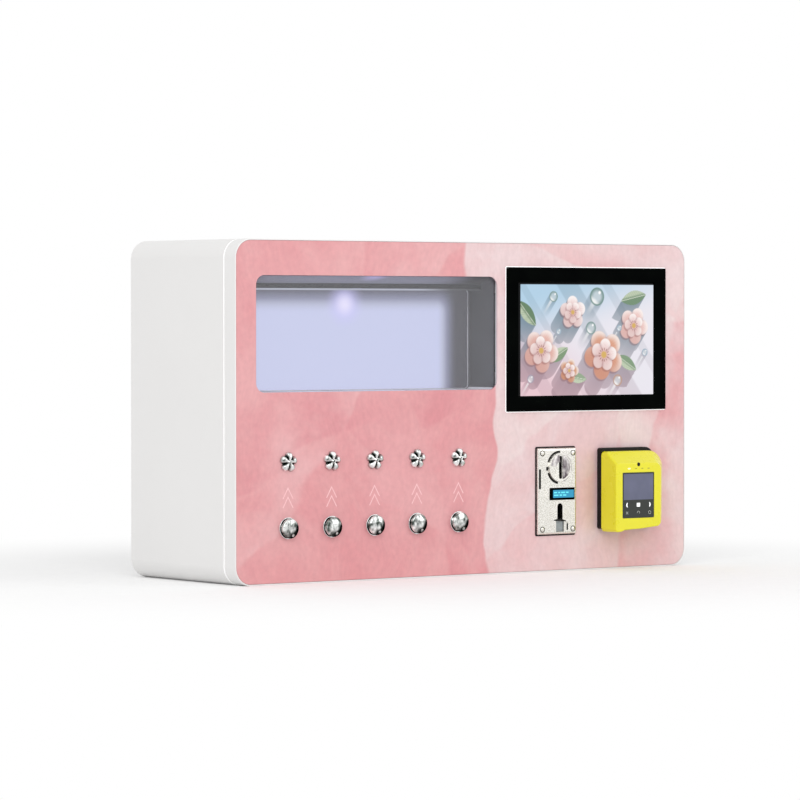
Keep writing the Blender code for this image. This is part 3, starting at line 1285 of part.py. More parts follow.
def build():
    clear_scene()
    white = make_material("white_powder_coat", "ECEBEA", 0.45)
    print_pink = make_material("printed_face", "E9B4B5", 0.4)
    clear = make_material("clear_acrylic", "F4F6F8", 0.05, alpha=0.25)
    grey = make_material("grey_liner_paint", "6E6E71", 0.5)
    frosted = make_material("frosted_back_panel", "CDD0EA", 0.6)
    lamp = make_material("lamp_lens", "E8E2FF", 0.3)
    black_gloss = make_material("gloss_black", "070908", 0.15)
    screen = make_material("screen_glass", "DCE3F0", 0.15)
    black_case = make_material("black_plastic", "1C1C1A", 0.5)
    zinc = make_material("zinc_plated_steel", "B4B6B8", 0.35, 1.0)
    chrome = make_material("chrome_plate", "D8D9DB", 0.08, 1.0)
    coin_metal = make_material("polished_zinc_plate", "D9D6CC", 0.3, 1.0)
    flap_grey = make_material("grey_plastic", "8C9192", 0.4)
    coin_blue = make_material("coin_display_blue", "2FA6DC", 0.2)
    yellow = make_material("yellow_plastic", "EBE31F", 0.35)
    reader_dark = make_material("reader_glass_dark", "6F7188", 0.1)
    tank_plastic = make_material("translucent_tank", "E9E4D2", 0.35, alpha=0.7)
    tube_clear = make_material("clear_hose", "E4E8EA", 0.3, alpha=0.6)
    board_green = make_material("board_green", "1F5A3C", 0.5)
    steel = make_material("steel_sheet", "9C9FA1", 0.45, 1.0)
    pump_black = make_material("pump_black", "242426", 0.5)
    aluminium = make_material("supply_aluminium", "A9ABAD", 0.4, 1.0)

    face_cutters = make_face_cutters()
    make_cabinet_shell(white)
    make_door_frame(face_cutters, white)
    make_face_panel(face_cutters, print_pink)
    make_window_pane(clear)
    make_display_liner(grey)
    make_display_back_panel(frosted)
    make_led_lamp(lamp)
    make_lcd(black_gloss, screen, black_case)
    for index, x in enumerate(column_xs(), start=1):
        make_nozzle(index, x, chrome)
        make_button(index, x, chrome)
        make_button_barrel(index, x, zinc)
        make_tank(index, x, tank_plastic)
        make_pump(index, x, pump_black)
        make_tube(index, x, tube_clear)
    make_tank_rack(steel)
    make_coin_plate(coin_metal)
    make_coin_reject_button(coin_metal)
    make_coin_display(coin_blue)
    make_coin_return_flap(flap_grey)
    make_coin_mechanism(black_case)
    make_reader_base(black_case)
    make_reader_housing(yellow)
    make_reader_glass(reader_dark)
    make_hinge(zinc)
    make_lock_body(zinc)
    make_lock_cam(zinc)
    make_lock_keeper(zinc)
    make_coin_box(steel)
    make_power_supply(aluminium)
    make_control_board(board_green)
    make_power_inlet(black_case)
    make_inlet_rocker(black_case)


build()
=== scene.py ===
"""The looks of a perfume vending machine: fine surfaces, finishes and a plain studio.

Metres throughout, with the machine's face towards -Y and Z up. Depths are measured backwards from
the plane of the printed face. Every piece is a surface worked out as whole arrays of points.
"""

import math
from functools import partial

import bmesh
import bpy
import numpy as np
from bpy.props import FloatProperty, FloatVectorProperty, IntProperty, PointerProperty
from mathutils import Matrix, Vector


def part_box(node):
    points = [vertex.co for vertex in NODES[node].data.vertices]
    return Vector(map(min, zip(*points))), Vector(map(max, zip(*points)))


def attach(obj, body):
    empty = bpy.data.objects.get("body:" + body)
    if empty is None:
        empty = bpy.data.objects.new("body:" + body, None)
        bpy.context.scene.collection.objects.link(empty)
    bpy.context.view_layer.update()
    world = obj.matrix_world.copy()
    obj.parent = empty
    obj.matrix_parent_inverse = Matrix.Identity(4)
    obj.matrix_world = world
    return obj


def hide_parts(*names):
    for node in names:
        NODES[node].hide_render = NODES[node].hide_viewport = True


bl_info = {
    "name": "Perfume vending machine looks",
    "version": (1, 0, 0),
    "blender": (4, 5, 0),
    "location": "3D View > Sidebar > Machine",
    "description": "Fine surfaces, finishes and a studio for a perfume vending machine",
    "category": "Object",
}

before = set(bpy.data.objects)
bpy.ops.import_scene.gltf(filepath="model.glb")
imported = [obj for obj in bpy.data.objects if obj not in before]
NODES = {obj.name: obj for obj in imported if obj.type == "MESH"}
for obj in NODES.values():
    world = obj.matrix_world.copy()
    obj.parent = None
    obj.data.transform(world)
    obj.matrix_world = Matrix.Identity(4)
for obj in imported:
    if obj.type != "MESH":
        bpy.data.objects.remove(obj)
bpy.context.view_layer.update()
COLUMNS = range(1, 6)


def corners(node):
    """Lowest and highest corner of a node, as arrays."""
    return tuple(np.array(corner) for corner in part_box(node))


def middle(node):
    """Middle of a node."""
    return sum(corners(node)) / 2


def span(node):
    """Width, depth and height of a node."""
    low, high = corners(node)
    return high - low


FACE_Y = corners("face_panel")[0][1]


def depths(node):
    """Depths of a node's front and of its back."""
    low, high = corners(node)
    return low[1] - FACE_Y, high[1] - FACE_Y


# Planes and sizes of the cabinet and its door
SIZE_X, _, SIZE_Z = span("cabinet_shell")
CORNER = 0.022
SHEET = 0.0015
SEAM_FRONT = depths("door_frame")[1]
SEAM_BACK, REAR = depths("cabinet_shell")
PANE_FRONT = depths("window_pane")[0]
PLATE_FRONT, PLATE_BACK = PANE_FRONT - 0.0018, PANE_FRONT - 0.0003
OUTLINE = (0, SIZE_Z / 2, SIZE_X, SIZE_Z, CORNER)
# The window's place, size and corner radius
WINDOW = (-0.1340, 0.29025, 0.3529, 0.1354, 0.0055)
# The coin plate's arc grooves, in degrees round its disc
GROOVES = ((88, 160), (200, 262))
# Radius of the dimple in the cabinet's side, round the lock
DIMPLE = 0.014
FOUR_CORNERS = ((-1, -1), (-1, 1), (1, -1), (1, 1))
PUMP_RADIUS = 0.014
# The camera, as solved from the cabinet's corners
LENS = 0.1826
SENSOR = 0.036
CAMERA_PLACE = (-2.977, -3.927, 0.312)
CAMERA_AZIMUTH = -36.84
CAMERA_PITCH = 1.2


def linear(code):
    """Linear colour, with alpha, of an sRGB hex code."""
    srgb = np.array([int(code[i:i + 2], 16) for i in (0, 2, 4)]) / 255
    low, high = srgb / 12.92, ((srgb + 0.055) / 1.055) ** 2.4
    return (*np.where(srgb <= 0.04045, low, high).tolist(), 1.0)


def length(name, description, default, low, high):
    """A length in metres that a user may change."""
    return FloatProperty(name=name, description=description, default=default, min=low, max=high,
                         unit="LENGTH", precision=5)


class VendingSizes(bpy.types.PropertyGroup):
    """Sizes of the fine surfaces that a user may want to change."""

    edge: length("Sheet edge", "Radius of the powder-coated sheet's edges", 0.0007, 0.0001, 0.002)
    fold: length("Rear fold", "Radius where the sides turn into the rear wall", 0.0025, 0.0005,
                 0.005)
    petals: IntProperty(
        name="Petals", description="Petals of each spray nozzle", default=5, min=3, max=9)
    petal_depth: FloatProperty(
        name="Petal depth", description="How far the outline dips between petals",
        default=0.27, min=0.0, max=0.7, subtype="FACTOR")
    screw_slot: length("Screw slot", "Width of the slot in the coin plate's screws", 0.0007,
                       0.0002, 0.002)
    round_steps: IntProperty(
        name="Round steps", description="Points round a turned piece", default=64, min=16, max=128)


def colour(name, description, code):
    """A colour that a user may change, which starts as this hex code."""
    return FloatVectorProperty(name=name, description=description, subtype="COLOR", size=4,
                               min=0.0, max=1.0, default=linear(code))


class VendingColours(bpy.types.PropertyGroup):
    """Colours of the finishes that a user may want to change."""

    coat: colour("Powder coat", "Cabinet and door", "ECEBEA")
    wash_dark: colour("Rose wash", "Stronger wash of the printed face", "E59CA0")
    wash_pale: colour("Blush wash", "Paler wash of the printed face", "EFD6D7")
    # This colour is also painted on the back panel as the lamp's light
    glow: colour("Compartment light", "Light of the compartment's lamp", "C9C4FF")
    reader: colour("Card reader", "Housing of the card reader", "E6DF1C")


def unit(vector):
    """The vector divided by its own length."""
    return vector / np.linalg.norm(vector)


def fillet(points, radius, steps=6):
    """Path through points, where each corner gives way to the arc that touches both its sides.
    The arc turns from its start to its end as sin((1-t)a) start + sin(t a) end, over sin(a). A
    corner of radius 0 stays sharp, and so do the ends of an open path."""
    points = np.asarray(points, float)
    radii = np.broadcast_to(radius, len(points))
    path = []
    for i, (corner, r) in enumerate(zip(points, radii)):
        if r == 0:
            path.append(corner[None])
            continue
        back = unit(points[i - 1] - corner)
        ahead = unit(points[(i + 1) % len(points)] - corner)
        half = math.acos(np.clip(back @ ahead, -1, 1)) / 2
        centre = corner + unit(back + ahead) * r / math.sin(half)
        start = corner + back * r / math.tan(half) - centre
        end = corner + ahead * r / math.tan(half) - centre
        turn = math.pi - 2 * half
        t = np.linspace(0, 1, steps + 1)[:, None]
        arc = np.sin((1 - t) * turn) * start + np.sin(t * turn) * end
        path.append(centre + arc / math.sin(turn))
    return np.concatenate(path)


def rectangle(x, z, width, height, radius, steps=6):
    """Rounded rectangle: its four corners, filleted."""
    side, top = width / 2, height / 2
    places = [(x - side, z - top), (x + side, z - top), (x + side, z + top), (x - side, z + top)]
    sharpest = 0.00005
    return fillet(places, max(radius, sharpest), steps)


def shrunk_rectangle(shape, inset, steps=6):
    """The rounded rectangle (x, z, width, height, radius), moved in on all sides."""
    x, z, width, height, radius = shape
    return rectangle(x, z, width - 2 * inset, height - 2 * inset, radius - inset, steps)


def at_depths(outlines, depths):
    """Rings of points: each outline of the XZ plane at its own depth behind the face."""
    outlines = np.asarray(outlines)
    y = np.broadcast_to(FACE_Y + np.asarray(depths, float)[:, None], outlines.shape[:2])
    return np.stack([outlines[..., 0], y, outlines[..., 1]], -1)


def prism(outline, ends):
    """An outline of the face's plane, drawn straight back from one depth to the other."""
    return at_depths([outline] * 2, ends)


def all_round(count):
    """Angles spread evenly over one turn."""
    return np.linspace(0, 2 * math.pi, count, endpoint=False)


def arc(x, z, radius, angles):
    """Points round a centre, at these angles."""
    return np.stack([x + radius * np.cos(angles), z + radius * np.sin(angles)], -1)


def rotated(outline, turn):
    """An outline, turned round the origin of the face's plane."""
    c, s = math.cos(turn), math.sin(turn)
    return outline @ np.array([[c, s], [-s, c]])


def turned(profile, centre, axis="y", steps=64):
    """Surface of revolution: (radius, distance along) turned once round an axis."""
    profile = np.asarray(profile, float)
    angle = all_round(steps)
    radius, along = profile[:, :1], profile[:, 1:]
    rings = np.stack([radius * np.cos(angle), radius * np.sin(angle), along + 0 * angle], -1)
    order = {"x": (2, 0, 1), "y": (0, 2, 1), "z": (0, 1, 2)}[axis]
    return rings[..., order] + np.asarray(centre)


def carried(section, path, up=(0.0, -1.0, 0.0)):
    """A section of (across, along up) carried along a path of points: each ring stands square to
    the path's direction there, taken as the difference of its neighbours."""
    path = np.asarray(path, float)
    ahead = np.gradient(path, axis=0)
    ahead /= np.linalg.norm(ahead, axis=1, keepdims=True)
    across = np.cross(ahead, up)
    across /= np.linalg.norm(across, axis=1, keepdims=True)
    lift = np.cross(across, ahead)
    section = np.asarray(section, float)
    return (path[:, None] + section[None, :, :1] * across[:, None]
            + section[None, :, 1:] * lift[:, None])


def slab_profile(front, back, edge, steps=4):
    """(inset, depth) from the front face round a quarter arc of this edge, and back."""
    t = np.linspace(0, math.pi / 2, steps + 1)
    arc = np.stack([edge * (1 - np.sin(t)), front + edge * (1 - np.cos(t))], -1)
    return np.concatenate([arc, [[0.0, back]]])


def framed(shape, section, steps=6):
    """Rings of a section of (inset, depth) carried round a rounded rectangle."""
    return at_depths([shrunk_rectangle(shape, inset, steps) for inset, _ in section],
                     [depth for _, depth in section])


def slab(shape, front, back, edge, steps=6):
    """Rings of a rounded-rectangle plate with a rounded front edge."""
    return framed(shape, slab_profile(front, back, edge), steps)


def rear_slab(shape, face, proud, edge, steps=4):
    """Rings of a plate that stands proud of a rear face, its rounded edge towards the rear."""
    sunk = 0.0002
    return framed(shape, slab_profile(-face - proud, sunk - face, edge) * [1, -1], steps)


def border(shape, outer, inner, front, back, steps):
    """Flat frame between two insets of a rounded rectangle."""
    return framed(shape, [(inner, front), (outer, front), (outer, back), (inner, back),
                          (inner, front)], steps)


def screw_head(x, z, face, proud=0.0016, radius=0.0028):
    """A round head on a rear face, turned round the screw."""
    profile = fillet([(0.0002, face + proud), (radius, face + proud), (radius, face - 0.0003),
                      (0.0002, face - 0.0003)], [0, proud * 0.7, 0, 0], 4)
    return turned(profile, (x, FACE_Y, z), steps=24)


def shell_faces(rings, start):
    """Quads between neighbouring rings. Open ends are closed by a fan to the ring's middle, and
    rings whose last equals the first close on themselves."""
    looped = np.allclose(rings[0], rings[-1])
    if looped:
        rings = rings[:-1]
    count, across = rings.shape[:2]
    rows = np.arange(count if looped else count - 1)[:, None]
    columns = np.arange(across)[None]
    near, far = (rows % count) * across, ((rows + 1) % count) * across
    beside = (columns + 1) % across
    quads = np.stack([near + columns, near + beside, far + beside, far + columns], -1)
    points = rings.reshape(-1, 3)
    faces = (quads.reshape(-1, 4) + start).tolist()
    if not looped:
        ends = np.stack([rings[0].mean(0), rings[-1].mean(0)])
        first = len(points) + start
        ring = np.arange(across)
        for hub, base in ((first, 0), (first + 1, (count - 1) * across)):
            fan = np.stack([np.full(across, hub), base + start + ring,
                            base + start + (ring + 1) % across], -1)
            faces += fan.tolist()
        points = np.concatenate([points, ends])
    return points, faces


def arc_bar(x, z, radius, width, start, end, front, back, steps=24):
    """Bar of rectangular section along an arc in the face's plane, from one angle to the other."""
    a = np.radians(np.linspace(start, end, steps))[:, None]
    r = radius + np.array([-width, width, width, -width]) / 2
    depth = np.broadcast_to([front, front, back, back], (steps, 4))
    return np.stack([x + r * np.cos(a), FACE_Y + depth, z + r * np.sin(a)], -1)


def linked(name, data):
    """A new object of a mesh, a camera or a lamp."""
    obj = bpy.data.objects.new(name, data)
    bpy.context.scene.collection.objects.link(obj)
    return obj


def piece(name, shells, sharp=32, tones=None):
    """One object of closed shells, each an array of rings of points, with outward faces. Tones
    hold a value for each point of each shell, kept as the attribute "tone"."""
    points, faces, shades = [], [], []
    for i, rings in enumerate(shells):
        new_points, new_faces = shell_faces(rings, sum(map(len, points)))
        points.append(new_points)
        faces += new_faces
        tone = np.zeros(rings.shape[:2]) if tones is None or tones[i] is None else tones[i]
        spare = len(new_points) - tone.size
        shades.append(tone.ravel()[:len(new_points)])
        if spare > 0:
            shades.append([tone[0].mean(), tone[-1].mean()])
    mesh = bpy.data.meshes.new(name)
    mesh.from_pydata(np.concatenate(points).tolist(), [], faces)
    work = bmesh.new()
    work.from_mesh(mesh)
    bmesh.ops.recalc_face_normals(work, faces=work.faces)
    work.to_mesh(mesh)
    work.free()
    if tones is not None:
        layer = mesh.attributes.new("tone", "FLOAT", "POINT")
        layer.data.foreach_set("value", np.concatenate(shades).astype(np.float32))
    smooth(mesh, sharp)
    return linked(name, mesh)


def smooth(mesh, sharp=32):
    """Smooth shading, except along edges above this angle."""
    mesh.shade_smooth()
    mesh.set_sharp_from_angle(angle=math.radians(sharp))


def carve(obj, shells, operation="DIFFERENCE", sharp=32):
    """Takes closed shells out of a piece, or joins them to it, and keeps the result as its mesh."""
    tools = [piece(f"{obj.name}_tool_{i}", [rings]) for i, rings in enumerate(shells)]
    for tool in tools:
        modifier = obj.modifiers.new(tool.name, "BOOLEAN")
        modifier.operation = operation
        modifier.solver = "EXACT"
        modifier.object = tool
    graph = bpy.context.evaluated_depsgraph_get()
    mesh = bpy.data.meshes.new_from_object(obj.evaluated_get(graph))
    obj.modifiers.clear()
    obj.data = mesh
    smooth(mesh, sharp)
    for tool in tools:
        bpy.data.objects.remove(tool)


def finish(obj, body, slot, material, *nodes):
    """Gives a piece its material and its body, and hides the nodes that it stands for. Its slot is
    not used. Normals are weighted by area, so flat faces stay flat beside their rounded edges."""
    obj.data.materials.clear()
    obj.data.materials.append(material)
    obj.modifiers.new("even_faces", "WEIGHTED_NORMAL").keep_sharp = True
    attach(obj, body)
    if nodes:
        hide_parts(*nodes)
    return obj


def build(name, shells, body, slot, material, *nodes, **how):
    """A new piece of closed shells, finished at once."""
    return finish(piece(name, shells, **how), body, slot, material, *nodes)


def dress(material, *nodes):
    """Gives nodes that keep their own shape a new material."""
    for node in nodes:
        data = NODES[node].data
        data.materials.clear()
        data.materials.append(material)


def ease(node, width, body, slot, material):
    """Puts a copy in a node's place, with its points merged and its sharp edges rounded."""
    mesh = NODES[node].data.copy()
    work = bmesh.new()
    work.from_mesh(mesh)
    bmesh.ops.remove_doubles(work, verts=work.verts, dist=0.00001)
    bmesh.ops.dissolve_limit(work, verts=work.verts, edges=work.edges, angle_limit=math.radians(1))
    work.to_mesh(mesh)
    work.free()
    obj = linked(f"{node}_finished", mesh)
    smooth(mesh)
    bevel = obj.modifiers.new("soft_edges", "BEVEL")
    bevel.width, bevel.segments = width, 2
    bevel.limit_method, bevel.angle_limit = "ANGLE", math.radians(40)
    bevel.harden_normals = True
    return finish(obj, body, slot, material, node)


# Materials

def feed(node, *inputs, **named):
    """Fills a node's open sockets in order, and others by name, from values, hex codes, outputs or
    nodes. A node stands for its first open output."""
    pairs = list(zip([socket for socket in node.inputs if socket.enabled], inputs))
    pairs += [(node.inputs[name.replace("_", " ")], value) for name, value in named.items()]
    for socket, value in pairs:
        if isinstance(value, bpy.types.Node):
            value = next(output for output in value.outputs if output.enabled)
        if isinstance(value, bpy.types.NodeSocket):
            node.id_data.links.new(value, socket)
        else:
            socket.default_value = linear(value) if isinstance(value, str) else value


def add_node(tree, kind, *inputs, stops=(), **values):
    """Adds one shader node. Values with a capital letter go to its sockets and the others to the
    node itself, and stops are those of a colour ramp, as (position, colour)."""
    node = tree.nodes.new("ShaderNode" + kind)
    named = {name: value for name, value in values.items() if name[0].isupper()}
    for name, value in values.items():
        if name not in named:
            setattr(node, name, value)
    feed(node, *inputs, **named)
    if stops:
        elements = node.color_ramp.elements
        while len(elements) < len(stops):
            elements.new(0.5)
        for element, (position, colour) in zip(elements, stops):
            element.position = position
            element.color = linear(colour) if isinstance(colour, str) else colour
    return node


def start_material(name, **values):
    """A new material, the way to add a node to it, its shader and the Object coordinates."""
    material = bpy.data.materials.new(name)
    material.use_nodes = True
    add = partial(add_node, material.node_tree)
    shader = material.node_tree.nodes["Principled BSDF"]
    feed(shader, **values)
    return material, add, shader, add("TexCoord").outputs["Object"]


def worked_surface(name, tones, patch, grain, relief, rough, stretch=(1, 1, 1), **values):
    """A surface whose colour drifts between two tones over patches of a real size, whose roughness
    drifts with it, and whose relief has grains of a real size, all in metres."""
    material, add, shader, point = start_material(name, **values)
    mapped = add("Mapping", point, Scale=stretch)
    drift = add("TexNoise", mapped, 1 / patch, 4.0)
    fine = add("TexNoise", mapped, 1 / grain, 2.0)
    feed(shader,
         Base_Color=add("ValToRGB", drift, stops=[(0.35, tones[0]), (0.65, tones[1])]),
         Roughness=add("MapRange", drift, 0.3, 0.7, *rough),
         Normal=add("Bump", Height=fine, Distance=relief))
    return material


def shade(colour, share):
    """A linear colour made darker or lighter by a share."""
    return (*[min(1.0, c * share) for c in colour[:3]], 1.0)


def seen_rays(add):
    """1 for a ray of the camera, of metal or of glass, 0 for one that lights a piece."""
    path = add("LightPath")
    seen = path.outputs["Is Camera Ray"]
    for kind in ("Is Glossy Ray", "Is Transmission Ray"):
        seen = add("Math", seen, path.outputs[kind], operation="MAXIMUM")
    return seen


def powder_coat():
    """Polyester powder coat on steel: almost even, with a faint orange peel of 1.5 mm."""
    coat = bpy.context.scene.vending_colours.coat
    return worked_surface("polyester_powder_coat", (shade(coat, 0.985), shade(coat, 1.0)), 0.12,
                          0.0015, 0.00004, (0.38, 0.46))


# Strokes of the printed wash: direction in the face (x, z), place of the crisp edge, where it has
# faded, colour, share, and the zone: 0 for the rose side, 1 for the blush side
STROKES = (
    ((0.50, 0.87), 0.00, 0.15, "EDB4B6", 0.45, 0),
    ((-0.35, 0.94), 0.22, 0.37, "DE8E95", 0.60, 0),
    ((-0.80, 0.60), 0.25, 0.36, "F0C0C1", 0.60, 0),
    ((0.60, 0.80), 0.02, 0.10, "E2959B", 0.50, 0),
    ((0.90, -0.44), -0.19, -0.05, "E8A2A6", 0.45, 0),
    ((-0.94, -0.34), 0.02, 0.13, "EEB6B7", 0.45, 0),
    ((0.66, -0.75), 0.02, 0.13, "EDB6B8", 0.60, 1),
    ((0.90, 0.44), 0.28, 0.40, "F3E0DE", 0.70, 1),
    ((0.97, -0.24), 0.25, 0.34, "E8A4A8", 0.75, 1),
    ((0.30, 0.95), 0.40, 0.46, "EAAFB2", 0.70, 1),
    ((-0.50, 0.87), 0.10, 0.21, "F4E4E2", 0.70, 1),
    ((-0.20, -0.98), -0.12, -0.02, "F0CFCF", 0.60, 1),
)
WET_EDGE = 0.006


def printed_wash():
    """Flat-bed print on acrylic: washes of rose and blush laid over each other. Each stroke has a
    wet, crisp edge on one side and fades over some 100 mm. Paper grain of 6 mm and slanting
    bristle marks of 4 mm lie over all."""
    colours = bpy.context.scene.vending_colours
    material, add, shader, point = start_material("printed_acrylic", Roughness=0.34,
                                                  Coat_Weight=0.10, Coat_Roughness=0.15)
    slow = add("TexNoise", point, 1 / 0.17, 3.5, 0.42)
    centred = add("VectorMath", slow.outputs["Color"], (0.5, 0.5, 0.5), operation="SUBTRACT")
    sway = add("VectorMath", centred, 0.15, operation="SCALE")
    swayed = add("VectorMath", point, sway, operation="ADD")

    def edge(direction, start, end):
        """Rises from 0 to 1 between two places along a direction of the face."""
        along = add("VectorMath", swayed, (direction[0], 0.0, direction[1]),
                    operation="DOT_PRODUCT")
        return add("MapRange", along, start, end, interpolation_type="SMOOTHSTEP")

    mottle = add("TexNoise", swayed, 1 / 0.07, 5.0, 0.6)
    rose = add("ValToRGB", mottle, stops=[(0.38, colours.wash_dark), (0.62, "E9A9AB")])
    blush = add("ValToRGB", mottle, stops=[(0.38, "ECC9CA"), (0.62, colours.wash_pale)])
    sides = [edge((-1.0, -0.16), -0.056, -0.050), edge((1.0, 0.16), 0.050, 0.056)]
    wash = add("Mix", sides[1], rose, blush, data_type="RGBA")
    water = add("TexNoise", point, 1 / 0.06, 3.0)
    thin = [add("MapRange", water, 0.36, 0.64, low, 1.2 - low) for low in (0.15, 1.05)]
    for index, (direction, crisp, faded, code, share, zone) in enumerate(STROKES):
        shape = edge(direction, crisp, crisp + WET_EDGE)
        fade = edge([-d for d in direction], -faded, -crisp - WET_EDGE)
        for factor in (fade, sides[zone], thin[index % 2], share):
            shape = add("Math", shape, factor, operation="MULTIPLY")
        wash = add("Mix", shape, wash, code, data_type="RGBA")
    paper = add("TexNoise", point, 1 / 0.006, 4.0)
    slant = add("Mapping", swayed, Rotation=(0, 0.75, 0), Scale=(1, 1, 0.12))
    bristle = add("TexNoise", slant, 1 / 0.004, 3.0)
    for marks, dark, pale in (
            (paper, (0.3, (0.88, 0.88, 0.88, 1)), (0.7, (0.945, 0.945, 0.945, 1))),
            (bristle, (0.35, (0.965, 0.955, 0.955, 1)), (0.65, (1.0, 1.0, 1.0, 1)))):
        wash = add("Mix", 1.0, wash, add("ValToRGB", marks, stops=[dark, pale]),
                   data_type="RGBA", blend_type="MULTIPLY")
    feed(shader, Base_Color=wash)
    return material


def clear_acrylic():
    """Cast acrylic: clear, with a faint even haze and sharp reflections."""
    material, add, shader, point = start_material(
        "cast_acrylic", Base_Color="F2F4FA", Roughness=0.04, IOR=1.49, Alpha=0.065)
    haze = add("TexNoise", point, 1 / 0.08)
    feed(shader, Roughness=add("MapRange", haze, 0.0, 1.0, 0.02, 0.07))
    return material


def lit_panel():
    """Opal acrylic whose glow has the lamp's light and the walls' shade painted into it: lavender
    on its front, brightest in a painted pool beside the lamp, and in painted shade of the walls for
    some 30 mm at its sides and 30 mm under the ceiling."""
    material, add, shader, point = start_material(
        "opal_acrylic", Roughness=0.55, Base_Color="2C2C32", Specular_IOR_Level=0.2)
    low, high = corners("display_back_panel")
    x, _, z = middle("led_lamp")
    apart = add("SeparateXYZ", point)
    lit = 1.0
    # Painted shade of the walls at both sides and under the ceiling
    for axis, start, end in (("X", low[0] + 0.018, low[0] + 0.040),
                             ("X", high[0] - 0.019, high[0] - 0.050),
                             ("Z", high[2] + 0.006, high[2] - 0.029)):
        rise = add("MapRange", apart.outputs[axis], start, end, interpolation_type="SMOOTHSTEP")
        lit = add("Math", lit, rise, operation="MULTIPLY")
    tone = add("ValToRGB", lit, stops=[(0.0, "3A393F"), (0.5, "8486A0"), (0.8, "B3B7D2"),
                                       (1.0, "C4C9EA")])
    # A painted pool of the lamp's light beside it: a violet halo round a pale heart
    left, drop, radius = 0.011, 0.0232, 1 / 32
    place = add("Mapping", point, Location=(left - x, 0, drop - z))
    reach = add("Mapping", place, Scale=(1 / radius, 0.0, 1 / radius))
    ball = add("TexGradient", reach, gradient_type="SPHERICAL").outputs["Fac"]
    halo = add("MapRange", ball, 0.0, 0.8, 0.0, 0.65, interpolation_type="SMOOTHSTEP")
    heart = add("MapRange", ball, 0.42, 0.98, interpolation_type="SMOOTHSTEP")
    for factor, colour in ((halo, bpy.context.scene.vending_colours.glow), (heart, "E6E1FF")):
        tone = add("Mix", factor, tone, colour, data_type="RGBA")
    way = add("SeparateXYZ", add("NewGeometry").outputs["Normal"]).outputs
    front = add("Math", way["Y"], 0.0, operation="LESS_THAN")
    tone = add("Mix", front, "050506", tone, data_type="RGBA")
    feed(shader, Emission_Color=tone, Emission_Strength=0.94)
    return material


def glowing(name, code, strength):
    """A lit lens: even light, with a slight fall-off where it is seen edge-on."""
    material, add, shader, _ = start_material(name, Base_Color=code, Roughness=0.3,
                                              Emission_Strength=strength)
    edge = add("LayerWeight", 0.3).outputs["Facing"]
    feed(shader, Emission_Color=add("ValToRGB", edge, stops=[
        (0.0, code), (1.0, shade(linear(code), 0.6))]))
    return material


def gloss_black():
    """Painted glass edge and gloss ABS: near black, with faint polishing marks."""
    return worked_surface("gloss_black_abs", ("010202", "030504"), 0.03, 0.004, 0.000002,
                          (0.14, 0.22), Specular_IOR_Level=0.012)


def liner_paint():
    """Satin grey paint on sheet steel, coloured by which way each face points: dark walls, a step
    in near-black painted shade, a slope painted lighter with a painted glare of the lamp, the
    slope's painted light fading towards the right wall, and a pale floor."""
    material, add, shader, point = start_material("satin_grey_paint", Roughness=0.5,
                                                  Specular_IOR_Level=0.25)
    drift = add("TexNoise", point, 1 / 0.05, 4.0)
    tone = add("ValToRGB", drift, stops=[(0.35, "3A3A3D"), (0.65, "404044")])
    way = add("SeparateXYZ", add("NewGeometry").outputs["Normal"]).outputs
    over = add("Math", way["Z"], -0.3, operation="LESS_THAN")
    ahead = add("Math", way["Y"], -0.7, operation="LESS_THAN")
    below = add("Math", way["Z"], 0.7, operation="GREATER_THAN")
    left = add("MapRange", add("SeparateXYZ", point).outputs["X"], 0.018, -0.022)
    # The painted glare of the lamp reaches a 45th of a metre across and a 60th in depth, from just
    # behind the pane
    across, deep, behind = 45, 60, FACE_Y + PANE_FRONT + 0.003
    near = add("Mapping", point, Scale=(across, deep, 0),
               Location=(-across * middle("led_lamp")[0], -deep * behind, 0))
    glare = add("TexGradient", near, gradient_type="SPHERICAL").outputs["Fac"]
    slope = add("Math", over, left, operation="MULTIPLY")
    shine = add("Math", over, glare, operation="MULTIPLY")
    # Painted light on the slope, the lamp's painted glare on it, painted shade on the step, and
    # pale faces that point up
    for factor, code in ((slope, "888999"), (shine, "CFC4F4"), (ahead, "141417"),
                         (below, "F4F4FB")):
        tone = add("Mix", factor, tone, code, data_type="RGBA")
    feed(shader, Base_Color=tone)
    return material


def trim_aluminium():
    """Anodised aluminium bead, pale and satin, brushed along its length."""
    return worked_surface("anodised_aluminium_bead", ("B4B4BC", "D2D2DA"), 0.02, 0.0008, 0.00001,
                          (0.4, 0.5), stretch=(0.1, 1, 1), Metallic=0.3)


def strip_with_painted_glow():
    """Opal strip with a painted glow: bright at the left, dull in painted shade near the right
    wall.
    """
    material, add, shader, point = start_material(
        "opal_strip_painted_glow", Roughness=0.5, Base_Color="38383C", Emission_Strength=0.85)
    left = add("MapRange", add("SeparateXYZ", point).outputs["X"], -0.002, -0.050)
    feed(shader, Emission_Color=add("Mix", left, "2A2A2E", "A8ACBC", data_type="RGBA"))
    return material


def seal_with_painted_glow():
    """White silicone seal with a painted glow, which keeps it bright in its gap."""
    return worked_surface("white_silicone_seal_painted_glow", ("F4F4F4", "FBFBFB"), 0.01, 0.001, 0.000004,
                          (0.5, 0.6), Emission_Color="FFFFFF", Emission_Strength=0.45)


def small_print(name, tones):
    """Matt print on a small field: one even tone."""
    return worked_surface(name, tones, 0.002, 0.001, 0.000001, (0.3, 0.4))


def black_abs():
    """Moulded black ABS with a spark-eroded grain of half a millimetre."""
    return worked_surface("moulded_black_abs", ("0C0C0A", "161614"), 0.02, 0.0006, 0.00003,
                          (0.42, 0.55), Specular_IOR_Level=0.2)


def yellow_abs():
    """Glossy yellow ABS: even colour, slight flow marks, a soft clear shine and a faint painted
    glow of its own colour.
    """
    colour = bpy.context.scene.vending_colours.reader
    return worked_surface("gloss_yellow_abs", (shade(colour, 0.97), shade(colour, 1.0)), 0.02,
                          0.003, 0.00001, (0.24, 0.34), Coat_Weight=0.3, Coat_Roughness=0.1,
                          Emission_Color=shade(colour, 1.0), Emission_Strength=0.04)


